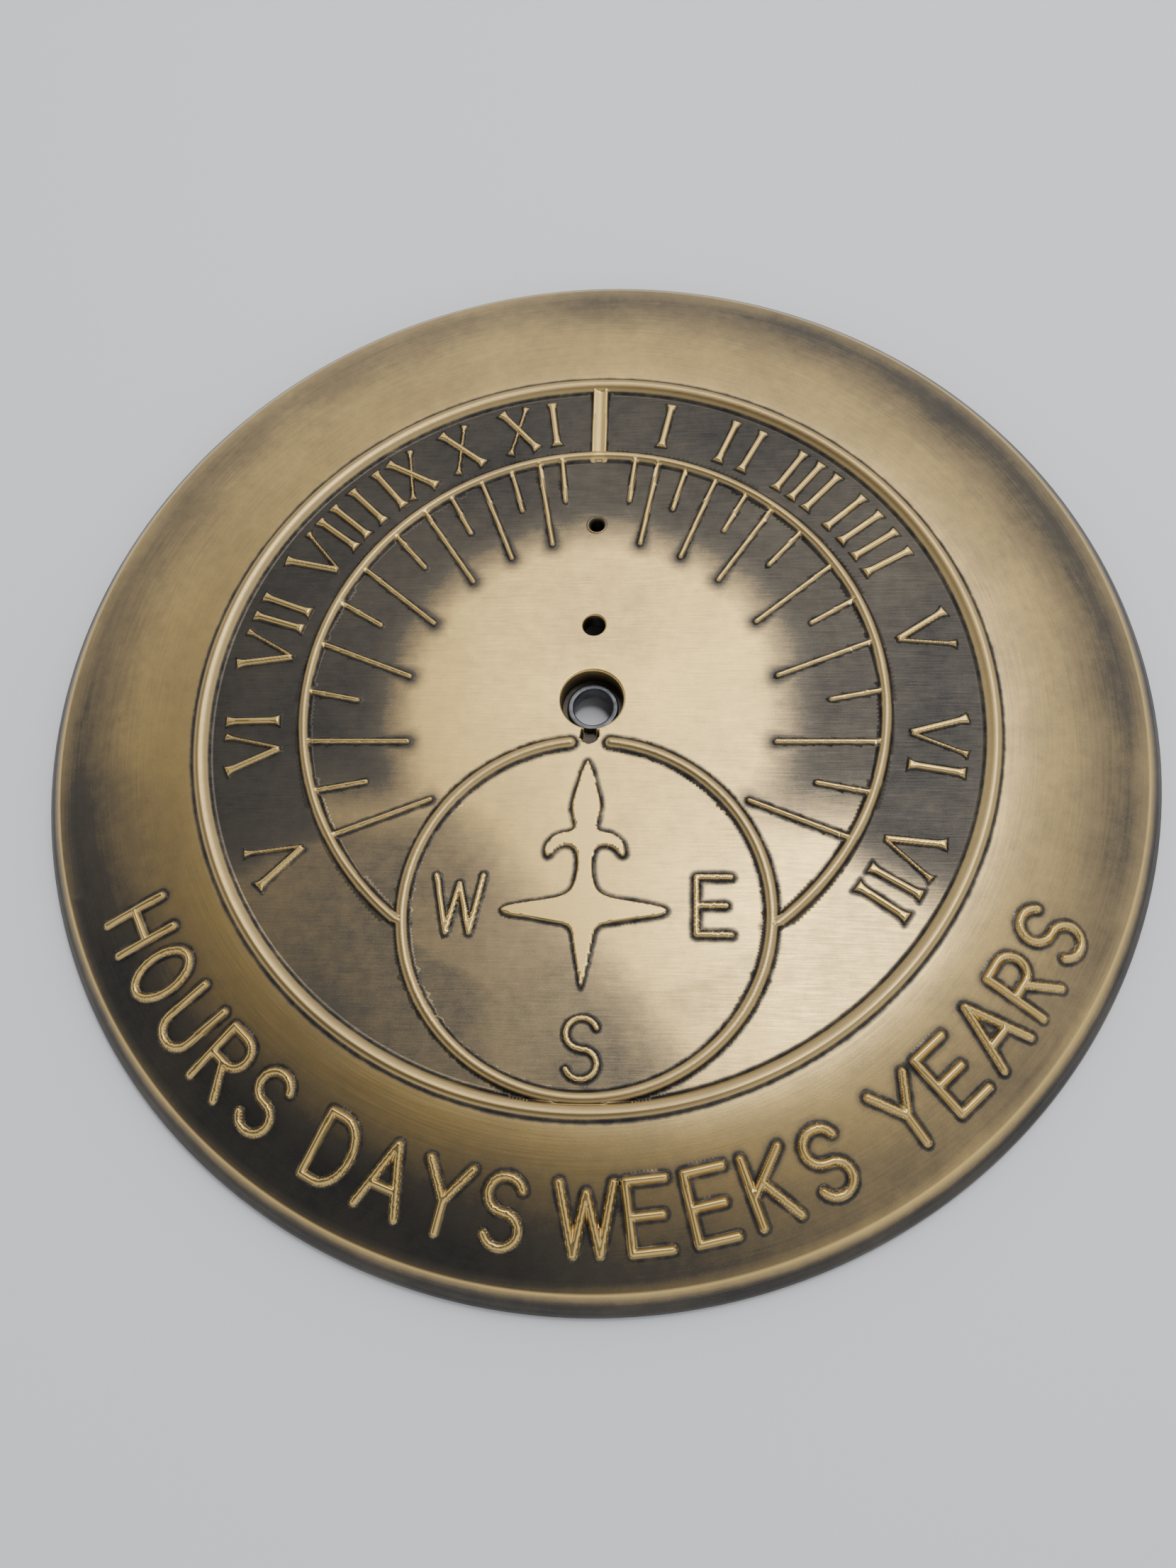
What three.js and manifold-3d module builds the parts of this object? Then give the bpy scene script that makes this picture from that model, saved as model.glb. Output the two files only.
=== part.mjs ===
// Garden sundial: a cast brass dial plate with its compass ring, and the loose gnomon kit that is
// kept in the plate's hollow back. Millimetres, +Z up, origin under the plate's centre.
// The noon line runs along +Y (north), so morning hours are at -X and afternoon hours at +X.
import * as THREE from 'three';
import { mergeVertices } from 'three/addons/utils/BufferGeometryUtils.js';
import Module from 'manifold-3d';

const wasm = await Module();
wasm.setup();

// ---- driving dimensions -------------------------------------------------------------------------
const PLATE_RADIUS = 152.4;
const FACE_Z = 14.0;            // the flat dial face
const WALL = 4.0;               // casting thickness
const BACK_Z = FACE_Z - WALL;   // ceiling of the hollow back
const OUTER_RING = { y: 0, radius: 106.1, half: 2.2, height: 2.0 };
const INNER_RING = { y: 3.3, radius: 78.5, half: 1.6, height: 1.7 };
const COMPASS_RING = { y: -55.6, radius: 47.2, half: 1.75, height: 1.5 };
const COMPASS_GAP = 5.4;        // half the gap in the compass ring at north
const INNER_RING_TRIM = 1.0;    // degrees the inner ring stops short of the compass ring's crest
const FLANGE_START = { r: 108.5, z: 14.7 };
const FLANGE_EDGE = { r: 147.6, z: 8.0 };
const FLANGE_POWER = 1.6;       // how late the flange falls away
const RIM_FOOT = { inner: 148.4, outer: 151.4 };

const LATITUDE = 42;            // degrees, from the bearings of the hour lines
const STYLE_HALF = 1.5;         // half the gnomon's thickness splits the hour lines at noon
const LINE_ORIGIN_Y = -8.4;     // where the hour lines would meet
const LINE_SHIFT = { 0.5: -0.8, 2: 0.4, 2.5: 0.8, 4: -1.0, 4.5: -0.4 };  // hour: degrees from true
const LINE_HALF = 0.95;
const HOUR_LINE_REACH = 50.7;   // inner ends, measured from the inner ring's centre
const HALF_LINE_REACH = 64.0;
const RELIEF = 1.2;             // height of lines, numerals and compass marks
const NOON_BAR_HALF = 2.5;

const NUMERAL_HALF_HEIGHT = 7.7;
const THICK = 2.2;              // main strokes of a numeral
const THIN = 1.2;
const V_SPREAD = 4.9;           // half width of a V, and of an X at its inner and outer ends
const X_SPREAD = { inner: 4.6, outer: 3.6 };
// Each numeral with the bearing of each of its letters, in degrees from north towards east.
const NUMERALS = [['V', -117.3], ['VI', -97.1, -91.5], ['VII', -78.4, -72.4, -68.8],
  ['VIII', -58.6, -52.8, -49.5, -45.3], ['IX', -40.4, -35.5], ['X', -25.4], ['XI', -14.6, -8.1],
  ['I', 12.0], ['II', 23.3, 28.1], ['III', 35.8, 39.3, 42.8], ['IIII', 48.4, 52.4, 56.4, 60.4],
  ['V', 75.3], ['VI', 94.0, 100.1], ['VII', 115.0, 120.9, 125.0]];
const MOTTO_RADIUS = 130.6;
const MOTTO_CAP = 16.3;         // centre line to centre line
const MOTTO_STROKE = 2.5;
const MOTTO_HEIGHT = 1.5;
const MOTTO_PITCH = 6.5;        // degrees between letters
const MOTTO = [['HOURS', 49.7], ['DAYS', 17.5], ['WEEKS', -14.0], ['YEARS', -49.8]];
const COMPASS_CAP = 15.2;
const COMPASS_STROKE = 1.9;
const SPEAR_X = -0.5;           // the north spear is cast a little west of the noon line

const BORE = { y: 4.3, radius: 8.5, ledge: FACE_Z - 6.8, through: 6.75, boss: 13.5, bossFoot: 2.4 };
const BUSH = { outer: 6.45, inner: 5.3, collar: 7.0, top: FACE_Z - 5.3 };
const TOE_NOTCH = { x: -0.4, y: -6.2, radius: 2.4, depth: 3.0 };
const SCREW_HOLE = { y: 26.8, radius: 3.1, boss: 8.0 };
const PIN_HOLE = { y: 58.8, radius: 1.95, boss: 6.0 };
const HOLE_BOSS_FOOT = BACK_Z - 2.0;
const GAP = 0.3;

const GNOMON = { length: 70, thick: 2 * STYLE_HALF, footWide: 9.0, footThick: 3.2, overhang: 3.0 };
const TAPPED_SPARE = 1.0;       // depth of a tapped hole past its screw's end
const KIT = { x: 92, y: -36, z: 4.5, turn: 90 };  // its middle plane, so its foot lies at z = 0
const SCREW = { radius: 2.5, length: 12, head: 4.25, headTall: 3.3, slotWide: 1.2, slotDeep: 1.5 };
const SMALL_SCREW = { radius: 1.5, length: 10, head: 2.75, headTall: 2.0, slotWide: 0.8, slotDeep: 0.9 };
const WASHER = { outer: 4.5, inner: 2.8, thick: 1.0 };
const SMALL_WASHER = { outer: 3.0, inner: 1.8, thick: 0.5 };

const RING_STEPS = 72;
const SMALL_STEPS = 20;

// ---- solids -------------------------------------------------------------------------------------
function toSolid(geometry) {
  geometry.deleteAttribute('normal');
  geometry.deleteAttribute('uv');
  const merged = mergeVertices(geometry, 1e-4);
  return new wasm.Manifold(new wasm.Mesh({
    numProp: 3,
    vertProperties: new Float32Array(merged.attributes.position.array),
    triVerts: new Uint32Array(merged.index.array),
  }));
}

function toGeometry(solid) {
  const mesh = solid.getMesh();
  const geometry = new THREE.BufferGeometry();
  geometry.setAttribute('position', new THREE.BufferAttribute(new Float32Array(mesh.vertProperties), 3));
  geometry.setIndex(new THREE.BufferAttribute(new Uint32Array(mesh.triVerts), 1));
  geometry.computeVertexNormals();
  return geometry;
}

function join(solids) {
  return solids.reduce((whole, next) => whole.add(next));
}

// A profile of [radius, z] points, listed anticlockwise with the axis on its left, turned about +Z.
function turned(profile, steps, y = 0) {
  const points = profile.map(([r, z]) => new THREE.Vector2(r, z));
  return toSolid(new THREE.LatheGeometry(points, steps).rotateX(Math.PI / 2).translate(0, y, 0));
}

function cylinder(radius, z0, z1, y = 0, steps = SMALL_STEPS) {
  return turned([[0, z0], [radius, z0], [radius, z1], [0, z1]], steps, y);
}

function prism(outline, z0, z1) {
  const shape = new THREE.Shape(outline.map(([x, y]) => new THREE.Vector2(x, y)));
  return new THREE.ExtrudeGeometry(shape, { depth: z1 - z0, bevelEnabled: false }).translate(0, 0, z0);
}

// ---- outlines -----------------------------------------------------------------------------------
function arc(cx, cy, rx, ry, from, to, steps) {
  return Array.from({ length: steps + 1 }, (_, i) => {
    const a = THREE.MathUtils.degToRad(from + (to - from) * i / steps);
    return [cx + rx * Math.cos(a), cy + ry * Math.sin(a)];
  });
}

// The outline of a stroke of constant width along a line of points, with its corners mitred.
function ribbon(line, half) {
  const left = [];
  const right = [];
  line.forEach(([x, y], i) => {
    const before = line[Math.max(i - 1, 0)];
    const after = line[Math.min(i + 1, line.length - 1)];
    const into = new THREE.Vector2(x - before[0], y - before[1]);
    const out = new THREE.Vector2(after[0] - x, after[1] - y);
    if (i === 0) into.copy(out);
    if (i === line.length - 1) out.copy(into);
    const normal = into.normalize().add(out.normalize()).normalize();
    const reach = half / Math.max(normal.dot(out), 0.5);
    left.push([x - normal.y * reach, y + normal.x * reach]);
    right.unshift([x + normal.y * reach, y - normal.x * reach]);
  });
  return left.concat(right);
}

// A straight numeral stroke whose ends may flare into serifs.
function flaredBar([x0, y0], [x1, y1], wide, footWide, headWide) {
  const along = new THREE.Vector2(x1 - x0, y1 - y0);
  const length = along.length();
  along.normalize();
  const flare = 1.9;
  const side = [[0, footWide / 2], [flare, wide / 2], [length - flare, wide / 2], [length, headWide / 2]];
  const place = ([s, w]) => [x0 + along.x * s - along.y * w, y0 + along.y * s + along.x * w];
  return side.map(place).concat(side.map(([s, w]) => place([s, -w])).reverse()).reverse();
}

// ---- lettering: strokes in a box one unit tall, and each letter's width -------------------------
const GLYPHS = {
  H: { width: 0.56, strokes: [[[0, 0], [0, 1]], [[1, 0], [1, 1]], [[0, 0.5], [1, 0.5]]] },
  O: { width: 0.60, strokes: [arc(0.5, 0.5, 0.5, 0.5, 85, 275, 7), arc(0.5, 0.5, 0.5, 0.5, 265, 455, 7)] },
  U: { width: 0.56, strokes: [[[0, 1], ...arc(0.5, 0.28, 0.5, 0.28, 180, 360, 5), [1, 1]]] },
  R: { width: 0.56, strokes: [[[0, 0], [0, 1]],
    [[0, 1], ...arc(0.5, 0.75, 0.45, 0.25, 90, -90, 4), [0, 0.5]], [[0.45, 0.5], [1, 0]]] },
  S: { width: 0.54, strokes: [[...arc(0.5, 0.745, 0.48, 0.255, 20, 270, 6),
    ...arc(0.5, 0.245, 0.48, 0.245, 90, -160, 6).slice(1)]] },
  D: { width: 0.58, strokes: [[[0, 0], [0, 1]], [[0, 1], ...arc(0.4, 0.5, 0.6, 0.5, 90, -90, 6), [0, 0]]] },
  A: { width: 0.66, strokes: [[[0, 0], [0.5, 1], [1, 0]], [[0.2, 0.36], [0.8, 0.36]]] },
  Y: { width: 0.66, strokes: [[[0, 1], [0.5, 0.46], [1, 1]], [[0.5, 0.5], [0.5, 0]]] },
  W: { width: 0.80, strokes: [[[0, 1], [0.25, 0], [0.5, 0.85], [0.75, 0], [1, 1]]] },
  E: { width: 0.58, strokes: [[[1, 1], [0, 1], [0, 0], [1, 0]], [[0, 0.5], [0.85, 0.5]]] },
  K: { width: 0.58, strokes: [[[0, 0], [0, 1]], [[1, 1], [0, 0.42]], [[0.32, 0.61], [1, 0]]] },
};

// The prisms of one letter, centred on the origin of its own frame and then placed by a matrix.
function letter(name, cap, stroke, foot, top, matrix) {
  const { width, strokes } = GLYPHS[name];
  return strokes.map((line) => {
    const sized = line.map(([x, y]) => [(x - 0.5) * width * cap, (y - 0.5) * cap]);
    return toSolid(prism(ribbon(sized, stroke / 2), foot, top).applyMatrix4(matrix));
  });
}

// ---- dial plate ---------------------------------------------------------------------------------
function flangeZ(r) {
  const t = (r - FLANGE_START.r) / (FLANGE_EDGE.r - FLANGE_START.r);
  return FLANGE_START.z - (FLANGE_START.z - FLANGE_EDGE.z) * t ** FLANGE_POWER;
}

function plateShell() {
  const ring = OUTER_RING;
  const flange = [0.78, 0.5].map((t) => THREE.MathUtils.lerp(FLANGE_START.r, FLANGE_EDGE.r, t));
  const top = FACE_Z + ring.height;
  return turned([
    [0, BACK_Z], [FLANGE_START.r, BACK_Z],
    [132, flangeZ(132) - WALL], [RIM_FOOT.inner - 1.4, 3.6],
    [RIM_FOOT.inner, 0], [RIM_FOOT.outer, 0], [PLATE_RADIUS, 1.2],
    [PLATE_RADIUS - 1.9, 4.2], [FLANGE_EDGE.r, FLANGE_EDGE.z],
    ...flange.map((r) => [r, flangeZ(r)]), [FLANGE_START.r, FLANGE_START.z],
    [ring.radius + 0.8, top], [ring.radius - 0.8, top],
    [ring.radius - ring.half, FACE_Z], [0, FACE_Z],
  ], RING_STEPS);
}

// A raised ring, or the part of one between two angles.
function raisedRing({ y, radius, half, height }, from, to, steps) {
  const outline = ribbon(arc(0, y, radius, radius, from, to, steps), half);
  return toSolid(prism(outline, FACE_Z - 1, FACE_Z + height));
}

// The inner ring runs down both sides as far as the compass ring.
function innerRing() {
  const apart = INNER_RING.y - COMPASS_RING.y;
  const drop = (INNER_RING.radius ** 2 - COMPASS_RING.radius ** 2 + apart ** 2) / (2 * apart);
  const end = THREE.MathUtils.radToDeg(Math.asin(drop / INNER_RING.radius)) - INNER_RING_TRIM;
  return raisedRing(INNER_RING, -end, 180 + end, 54);
}

function compassRing() {
  const gap = THREE.MathUtils.radToDeg(Math.asin(COMPASS_GAP / COMPASS_RING.radius));
  return raisedRing(COMPASS_RING, 90 + gap, 450 - gap, 48);
}

// The sundial formula for an hour's shadow, plus the small errors that the casting has.
function lineBearing(hour) {
  const angle = THREE.MathUtils.degToRad(15 * hour);
  const shift = THREE.MathUtils.degToRad(LINE_SHIFT[Math.abs(hour)] ?? 0) * Math.sign(hour);
  const tilt = Math.sin(THREE.MathUtils.degToRad(LATITUDE));
  return Math.atan2(tilt * Math.sin(angle), Math.cos(angle)) + shift;
}

// Distance along an hour line from its origin to a circle about the inner ring's centre.
function reachOf(hour, radius) {
  const bearing = lineBearing(hour);
  const x = Math.sign(hour) * (Math.abs(hour) < 6 ? STYLE_HALF : 0);
  const dy = LINE_ORIGIN_Y - INNER_RING.y;
  const b = x * Math.sin(bearing) + dy * Math.cos(bearing);
  const length = -b + Math.sqrt(b * b - (x * x + dy * dy) + radius * radius);
  return [x + length * Math.sin(bearing), LINE_ORIGIN_Y + length * Math.cos(bearing)];
}

function hourLines() {
  const lines = [];
  for (let half = -14; half <= 14; half += 1) {
    const whole = half % 2 === 0;
    if (half === 0 || (!whole && Math.abs(half) > 13)) continue;
    const ends = [reachOf(half / 2, whole ? HOUR_LINE_REACH : HALF_LINE_REACH),
      reachOf(half / 2, INNER_RING.radius)];
    lines.push(toSolid(prism(ribbon(ends, LINE_HALF), FACE_Z - 1, FACE_Z + RELIEF)));
  }
  return lines;
}

// The strokes of one letter of a numeral: x across (millimetres at mid height), y outwards.
function numeralStrokes(name) {
  const h = NUMERAL_HALF_HEIGHT;
  const serif = 4.0;
  const thinSerif = 3.0;
  if (name === 'I') return [[[0, -h], [0, h], THICK, serif, serif]];
  if (name === 'V') return [[[0, -h], [-V_SPREAD, h], THICK, THICK, serif],
    [[0, -h], [V_SPREAD, h], THIN, THIN, thinSerif]];
  return [[[X_SPREAD.inner, -h], [-X_SPREAD.outer, h], THICK, serif, serif],
    [[-X_SPREAD.inner, -h], [X_SPREAD.outer, h], THIN, thinSerif, thinSerif]];
}

// Distance from the plate's centre to the inner ring in a given direction.
function innerRingReach(bearing) {
  const { y, radius } = INNER_RING;
  return y * Math.cos(bearing) + Math.sqrt(radius ** 2 - (y * Math.sin(bearing)) ** 2);
}

function numerals() {
  return NUMERALS.flatMap(([text, ...bearings]) => [...text].flatMap((name, i) => {
    const bearing = THREE.MathUtils.degToRad(bearings[i]);
    const middle = (innerRingReach(bearing) + OUTER_RING.radius) / 2;
    const place = ([x, y]) => {
      const a = bearing + x / middle;
      return [Math.sin(a) * (middle + y), Math.cos(a) * (middle + y)];
    };
    return numeralStrokes(name).map(([from, to, ...widths]) => toSolid(
      prism(flaredBar(place(from), place(to), ...widths), FACE_Z - 1, FACE_Z + RELIEF)));
  }));
}

function motto() {
  const slope = Math.atan2(flangeZ(MOTTO_RADIUS - 8) - flangeZ(MOTTO_RADIUS + 8), 16);
  return MOTTO.flatMap(([word, middle]) => [...word].flatMap((name, i) => {
    const west = THREE.MathUtils.degToRad(middle - (i - (word.length - 1) / 2) * MOTTO_PITCH);
    const matrix = new THREE.Matrix4().makeRotationZ(-west)
      .multiply(new THREE.Matrix4().makeTranslation(0, -MOTTO_RADIUS, flangeZ(MOTTO_RADIUS)))
      .multiply(new THREE.Matrix4().makeRotationX(slope));
    return letter(name, MOTTO_CAP, MOTTO_STROKE, -1.5, MOTTO_HEIGHT, matrix);
  }));
}

// North is marked by a spear with a curled guard and two wings; the other points by letters.
function compassMarks() {
  const half = [[0, -13.6], [4.1, -26.6], [2.9, -33.6], [5.5, -34.2], [8.8, -35.8], [10.4, -39],
    [9.6, -41], [7.6, -40.4], [5.6, -38.4], [3.2, -39], [2.3, -42], [2.5, -48], [4.6, -51.1],
    [12, -52.9], [20.6, -54.4], [20.6, -56.4], [11, -58.1], [3.4, -59.6], [2.6, -64.1], [1.7, -69.2],
    [0, -77]];
  const mirrored = half.slice(1, -1).map(([x, y]) => [-x, y]).reverse();
  const outline = [...half, ...mirrored].map(([x, y]) => [x + SPEAR_X, y]);
  const at = (x, y) => new THREE.Matrix4().makeTranslation(x, y, FACE_Z);
  return [
    toSolid(prism(outline, FACE_Z - 1, FACE_Z + RELIEF)),
    ...letter('E', COMPASS_CAP, COMPASS_STROKE, -1, RELIEF, at(32.6, -53.8)),
    ...letter('W', COMPASS_CAP, COMPASS_STROKE, -1, RELIEF, at(-32.6, -53.8)),
    ...letter('S', COMPASS_CAP, COMPASS_STROKE, -1, RELIEF, at(0, -90.6)),
  ];
}

function noonBar() {
  const foot = INNER_RING.y + INNER_RING.radius;
  const line = [[0, foot], [0, OUTER_RING.radius - 0.5]];
  return toSolid(prism(ribbon(line, NOON_BAR_HALF), FACE_Z - 1, FACE_Z + RELIEF));
}

function dialPlate() {
  const raised = [innerRing(), compassRing(), ...hourLines(), ...numerals(), ...compassMarks(),
    ...motto(), noonBar(),
    cylinder(BORE.boss, BORE.bossFoot, BACK_Z + 1, BORE.y, 28),
    cylinder(SCREW_HOLE.boss, HOLE_BOSS_FOOT, BACK_Z + 1, SCREW_HOLE.y),
    cylinder(PIN_HOLE.boss, HOLE_BOSS_FOOT, BACK_Z + 1, PIN_HOLE.y)];
  const cuts = [
    cylinder(BORE.radius, BORE.ledge, FACE_Z + 3, BORE.y, 28),
    cylinder(BORE.through, -1, BORE.ledge + 1, BORE.y, 28),
    cylinder(TOE_NOTCH.radius, FACE_Z - TOE_NOTCH.depth, FACE_Z + 3, TOE_NOTCH.y)
      .translate([TOE_NOTCH.x, 0, 0]),
    cylinder(SCREW_HOLE.radius, -1, FACE_Z + 3, SCREW_HOLE.y),
    cylinder(PIN_HOLE.radius, -1, FACE_Z + 3, PIN_HOLE.y),
  ];
  return join([plateShell(), ...raised]).subtract(join(cuts));
}

// A flanged ring that lines the through hole and stands on the bore's ledge.
function boreBush() {
  const seat = BORE.ledge + GAP;
  const foot = BORE.bossFoot + 1;
  return turned([
    [BUSH.inner, foot], [BUSH.outer, foot], [BUSH.outer, seat], [BUSH.collar, seat],
    [BUSH.collar, BUSH.top - 0.5], [BUSH.collar - 0.5, BUSH.top], [BUSH.inner + 0.4, BUSH.top],
    [BUSH.inner, BUSH.top - 0.4], [BUSH.inner, foot],
  ], 28, BORE.y);
}

// ---- gnomon kit: modelled standing on its foot, noon line along X, then laid flat ----------------
// Local frame: x from the toe to the heel, y up the style, z across the thickness.
function gnomon() {
  const { length, thick, footWide, footThick, overhang } = GNOMON;
  const slope = Math.tan(THREE.MathUtils.degToRad(LATITUDE));
  const styleStart = LINE_ORIGIN_Y - TOE_NOTCH.y;
  const tipX = length - 1.5;
  const tipY = (tipX - styleStart) * slope;
  const back = arc(length + 16, tipY / 2, 20, tipY / 2 - footThick, -110, -250, 10).reverse();
  const fin = [[styleStart + (footThick - 1) / slope, footThick - 1], [length, footThick - 1],
    [length, footThick + 1], ...back.reverse(), [tipX + 1, tipY - 2], [tipX, tipY]];
  const foot = toSolid(new THREE.BoxGeometry(length + overhang, footThick, footWide)
    .translate((length - overhang) / 2, footThick / 2, 0));
  const peg = toSolid(new THREE.CylinderGeometry(1.8, 1.6, 3.4, 16).translate(0, -1.2, 0));
  const post = (hole, radius, from, to) => toSolid(new THREE.CylinderGeometry(radius, radius, to - from, 20)
    .translate(hole.y - TOE_NOTCH.y, (from + to) / 2, 0));
  const boss = ([hole, screw]) => post(hole, footWide / 2 - 0.2, 1, screw.length + 2 * TAPPED_SPARE);
  const tapped = ([hole, screw]) => post(hole, screw.radius + GAP, -1, screw.length + TAPPED_SPARE - 1);
  const screws = [[SCREW_HOLE, SCREW], [PIN_HOLE, SMALL_SCREW]];
  return join([toSolid(prism(fin, -thick / 2, thick / 2)), foot, peg, ...screws.map(boss)])
    .subtract(join(screws.map(tapped)));
}

// A slotted cheese-head screw with its head at -y, pointing along +y.
function slottedScrew({ radius, length, head, headTall, slotWide, slotDeep }) {
  const body = new THREE.LatheGeometry([
    [0, 0], [head - 0.4, 0], [head, 0.4], [head, headTall], [radius, headTall],
    [radius, headTall + length - 0.6], [radius - 0.6, headTall + length], [0, headTall + length],
  ].map(([r, y]) => new THREE.Vector2(r, y)), SMALL_STEPS);
  const slot = new THREE.BoxGeometry(slotWide, 2 * slotDeep, 3 * head);
  return toSolid(body).subtract(toSolid(slot));
}

function washer({ outer, inner, thick }) {
  const ring = [[inner, 0], [outer, 0], [outer, thick], [inner, thick], [inner, 0]];
  return toSolid(new THREE.LatheGeometry(ring.map(([r, y]) => new THREE.Vector2(r, y)), SMALL_STEPS));
}

// ---- scene --------------------------------------------------------------------------------------
function metal(color, roughness) {
  return new THREE.MeshStandardMaterial({ color, roughness, metalness: 1 });
}

const antiqueBrass = metal(0x8d7a52, 0.42);
const bushMetal = metal(0x77787a, 0.38);
const plainBrass = metal(0xa98c4f, 0.35);
const screwSteel = metal(0x9a9b9c, 0.3);

function node(name, solid, material) {
  const mesh = new THREE.Mesh(toGeometry(solid), material);
  mesh.name = name;
  return mesh;
}

const dial = new THREE.Group();
dial.add(node('dial_plate', dialPlate(), antiqueBrass));
dial.add(node('bore_bush', boreBush(), bushMetal));

const kit = new THREE.Group();
kit.position.set(KIT.x, KIT.y, KIT.z);
kit.rotation.z = THREE.MathUtils.degToRad(KIT.turn);
kit.add(node('gnomon', gnomon(), plainBrass));
for (const [name, hole, screw, ring] of [['gnomon_screw', SCREW_HOLE, SCREW, WASHER],
  ['gnomon_small_screw', PIN_HOLE, SMALL_SCREW, SMALL_WASHER]]) {
  const x = hole.y - TOE_NOTCH.y;
  const washerMesh = node(`${name}_washer`, washer(ring), screwSteel);
  washerMesh.position.set(x, -ring.thick - GAP, 0);
  const screwMesh = node(name, slottedScrew(screw), screwSteel);
  screwMesh.position.set(x, -ring.thick - 2 * GAP - screw.headTall, 0);
  kit.add(washerMesh, screwMesh);
}

const sundial = new THREE.Group();
sundial.add(dial, kit);
export default sundial;
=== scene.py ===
"""Garden sundial: the cast dial plate in antiqued brass, the bush in its bore, and its gnomon kit.

Lengths are in millimetres until a mesh is made. The plate's relief is a height over the plane of its
rim foot, sampled on rings of cells that get smaller near every raised edge.
"""
import math

import bpy
import numpy as np
from mathutils import Matrix, Vector


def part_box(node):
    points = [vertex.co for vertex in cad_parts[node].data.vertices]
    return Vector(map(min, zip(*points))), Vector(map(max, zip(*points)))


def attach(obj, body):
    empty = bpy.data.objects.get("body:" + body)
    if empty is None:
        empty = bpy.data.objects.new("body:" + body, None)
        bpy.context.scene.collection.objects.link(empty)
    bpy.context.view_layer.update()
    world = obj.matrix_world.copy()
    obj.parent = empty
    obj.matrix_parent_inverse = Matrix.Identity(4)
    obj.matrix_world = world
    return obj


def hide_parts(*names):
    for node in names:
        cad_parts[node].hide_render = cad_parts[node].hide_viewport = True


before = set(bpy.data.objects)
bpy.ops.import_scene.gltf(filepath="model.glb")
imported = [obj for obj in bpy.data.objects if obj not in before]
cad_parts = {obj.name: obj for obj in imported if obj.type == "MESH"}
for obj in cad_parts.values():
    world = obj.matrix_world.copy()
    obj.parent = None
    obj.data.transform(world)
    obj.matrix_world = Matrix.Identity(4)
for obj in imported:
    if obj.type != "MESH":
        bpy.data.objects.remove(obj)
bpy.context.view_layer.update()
MM = 0.001

# ---- sizes shared with the CAD parts ----
_, plate_hi = (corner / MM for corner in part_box("dial_plate"))
bush_lo, bush_hi = (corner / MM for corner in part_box("bore_bush"))
PLATE_RADIUS = plate_hi.x
CREST_Z = plate_hi.z
WALL_THICK = 4.0
FACE_Z = CREST_Z - 2.0
BACK_Z = FACE_Z - WALL_THICK
OUTER_RING = {"y": 0.0, "radius": 106.1, "half": 2.2, "top": CREST_Z}
INNER_RING = {"y": 3.3, "radius": 78.5, "half": 1.6, "top": FACE_Z + 1.7}
COMPASS_RING = {"y": -55.6, "radius": 47.2, "half": 1.75, "top": FACE_Z + 1.5}
COMPASS_GAP = 5.4
FLANGE_START = (108.5, FACE_Z + 0.7)
FLANGE_EDGE = (147.6, FACE_Z - 6.0)
FLANGE_POWER = 1.6
RIM = [FLANGE_EDGE, (150.4, 5.2), (151.9, 2.9), (PLATE_RADIUS, 1.2),    # (radius, z), to the underside
       (151.8, 0.0), (148.4, 0.0), (147.3, 2.9)]
KNEE_RADIUS = 132.0           # where the underside turns down towards the rim
UNDER_EDGE = (147.0, 3.6)
RELIEF = 1.2
LATITUDE = 42.0
STYLE_HALF = 1.5
LINE_ORIGIN_Y = -8.4
LINE_SHIFT = {0.5: -0.8, 2: 0.4, 2.5: 0.8, 4: -1.0, 4.5: -0.4}
LINE_HALF = 0.95
HOUR_LINE_REACH = 50.7
HALF_LINE_REACH = 64.0
NOON_BAR_HALF = 2.5
NUMERAL_HALF_HEIGHT = 7.7
V_SPREAD = 4.9
X_INNER, X_OUTER = 4.6, 3.6
NUMERALS = [("V", -117.3), ("VI", -97.1, -91.5), ("VII", -78.4, -72.4, -68.8),
            ("VIII", -58.6, -52.8, -49.5, -45.3), ("IX", -40.4, -35.5), ("X", -25.4), ("XI", -14.6, -8.1),
            ("I", 12.0), ("II", 23.3, 28.1), ("III", 35.8, 39.3, 42.8), ("IIII", 48.4, 52.4, 56.4, 60.4),
            ("V", 75.3), ("VI", 94.0, 100.1), ("VII", 115.0, 120.9, 125.0)]
MOTTO = [("HOURS", 49.7), ("DAYS", 17.5), ("WEEKS", -14.0), ("YEARS", -49.8)]
MOTTO_RADIUS = 130.6
MOTTO_CAP = 16.3
MOTTO_HALF = 1.4
MOTTO_HEIGHT = 1.5
MOTTO_PITCH = 6.5
COMPASS_CAP = 15.2
COMPASS_HALF = 1.0
BORE = {"x": 0.0, "y": (bush_lo.y + bush_hi.y) / 2, "radius": 8.5, "through": 6.75, "ledge": FACE_Z - 6.8,
        "boss": 13.5, "foot": 2.4, "lip": 0.7}
SCREW_HOLE = {"x": 0.0, "y": 26.8, "radius": 3.1, "boss": 8.0, "foot": BACK_Z - 2.0, "lip": 0.5}
PIN_HOLE = {"x": 0.0, "y": 58.8, "radius": 1.95, "boss": 6.0, "foot": BACK_Z - 2.0, "lip": 0.9}
PIN_BURR = {"radius": 2.5, "half": 0.55, "height": 0.35}
TOE_NOTCH = {"x": -0.4, "y": -6.2, "radius": 2.4, "depth": 3.0}
GAP = 0.3       # between pieces that touch on the real object


# ---- outlines ----
def arc(cx, cy, rx, ry, start, end, steps):
    angles = np.radians(np.linspace(start, end, steps + 1))
    return [(cx + rx * math.cos(a), cy + ry * math.sin(a)) for a in angles]


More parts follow.
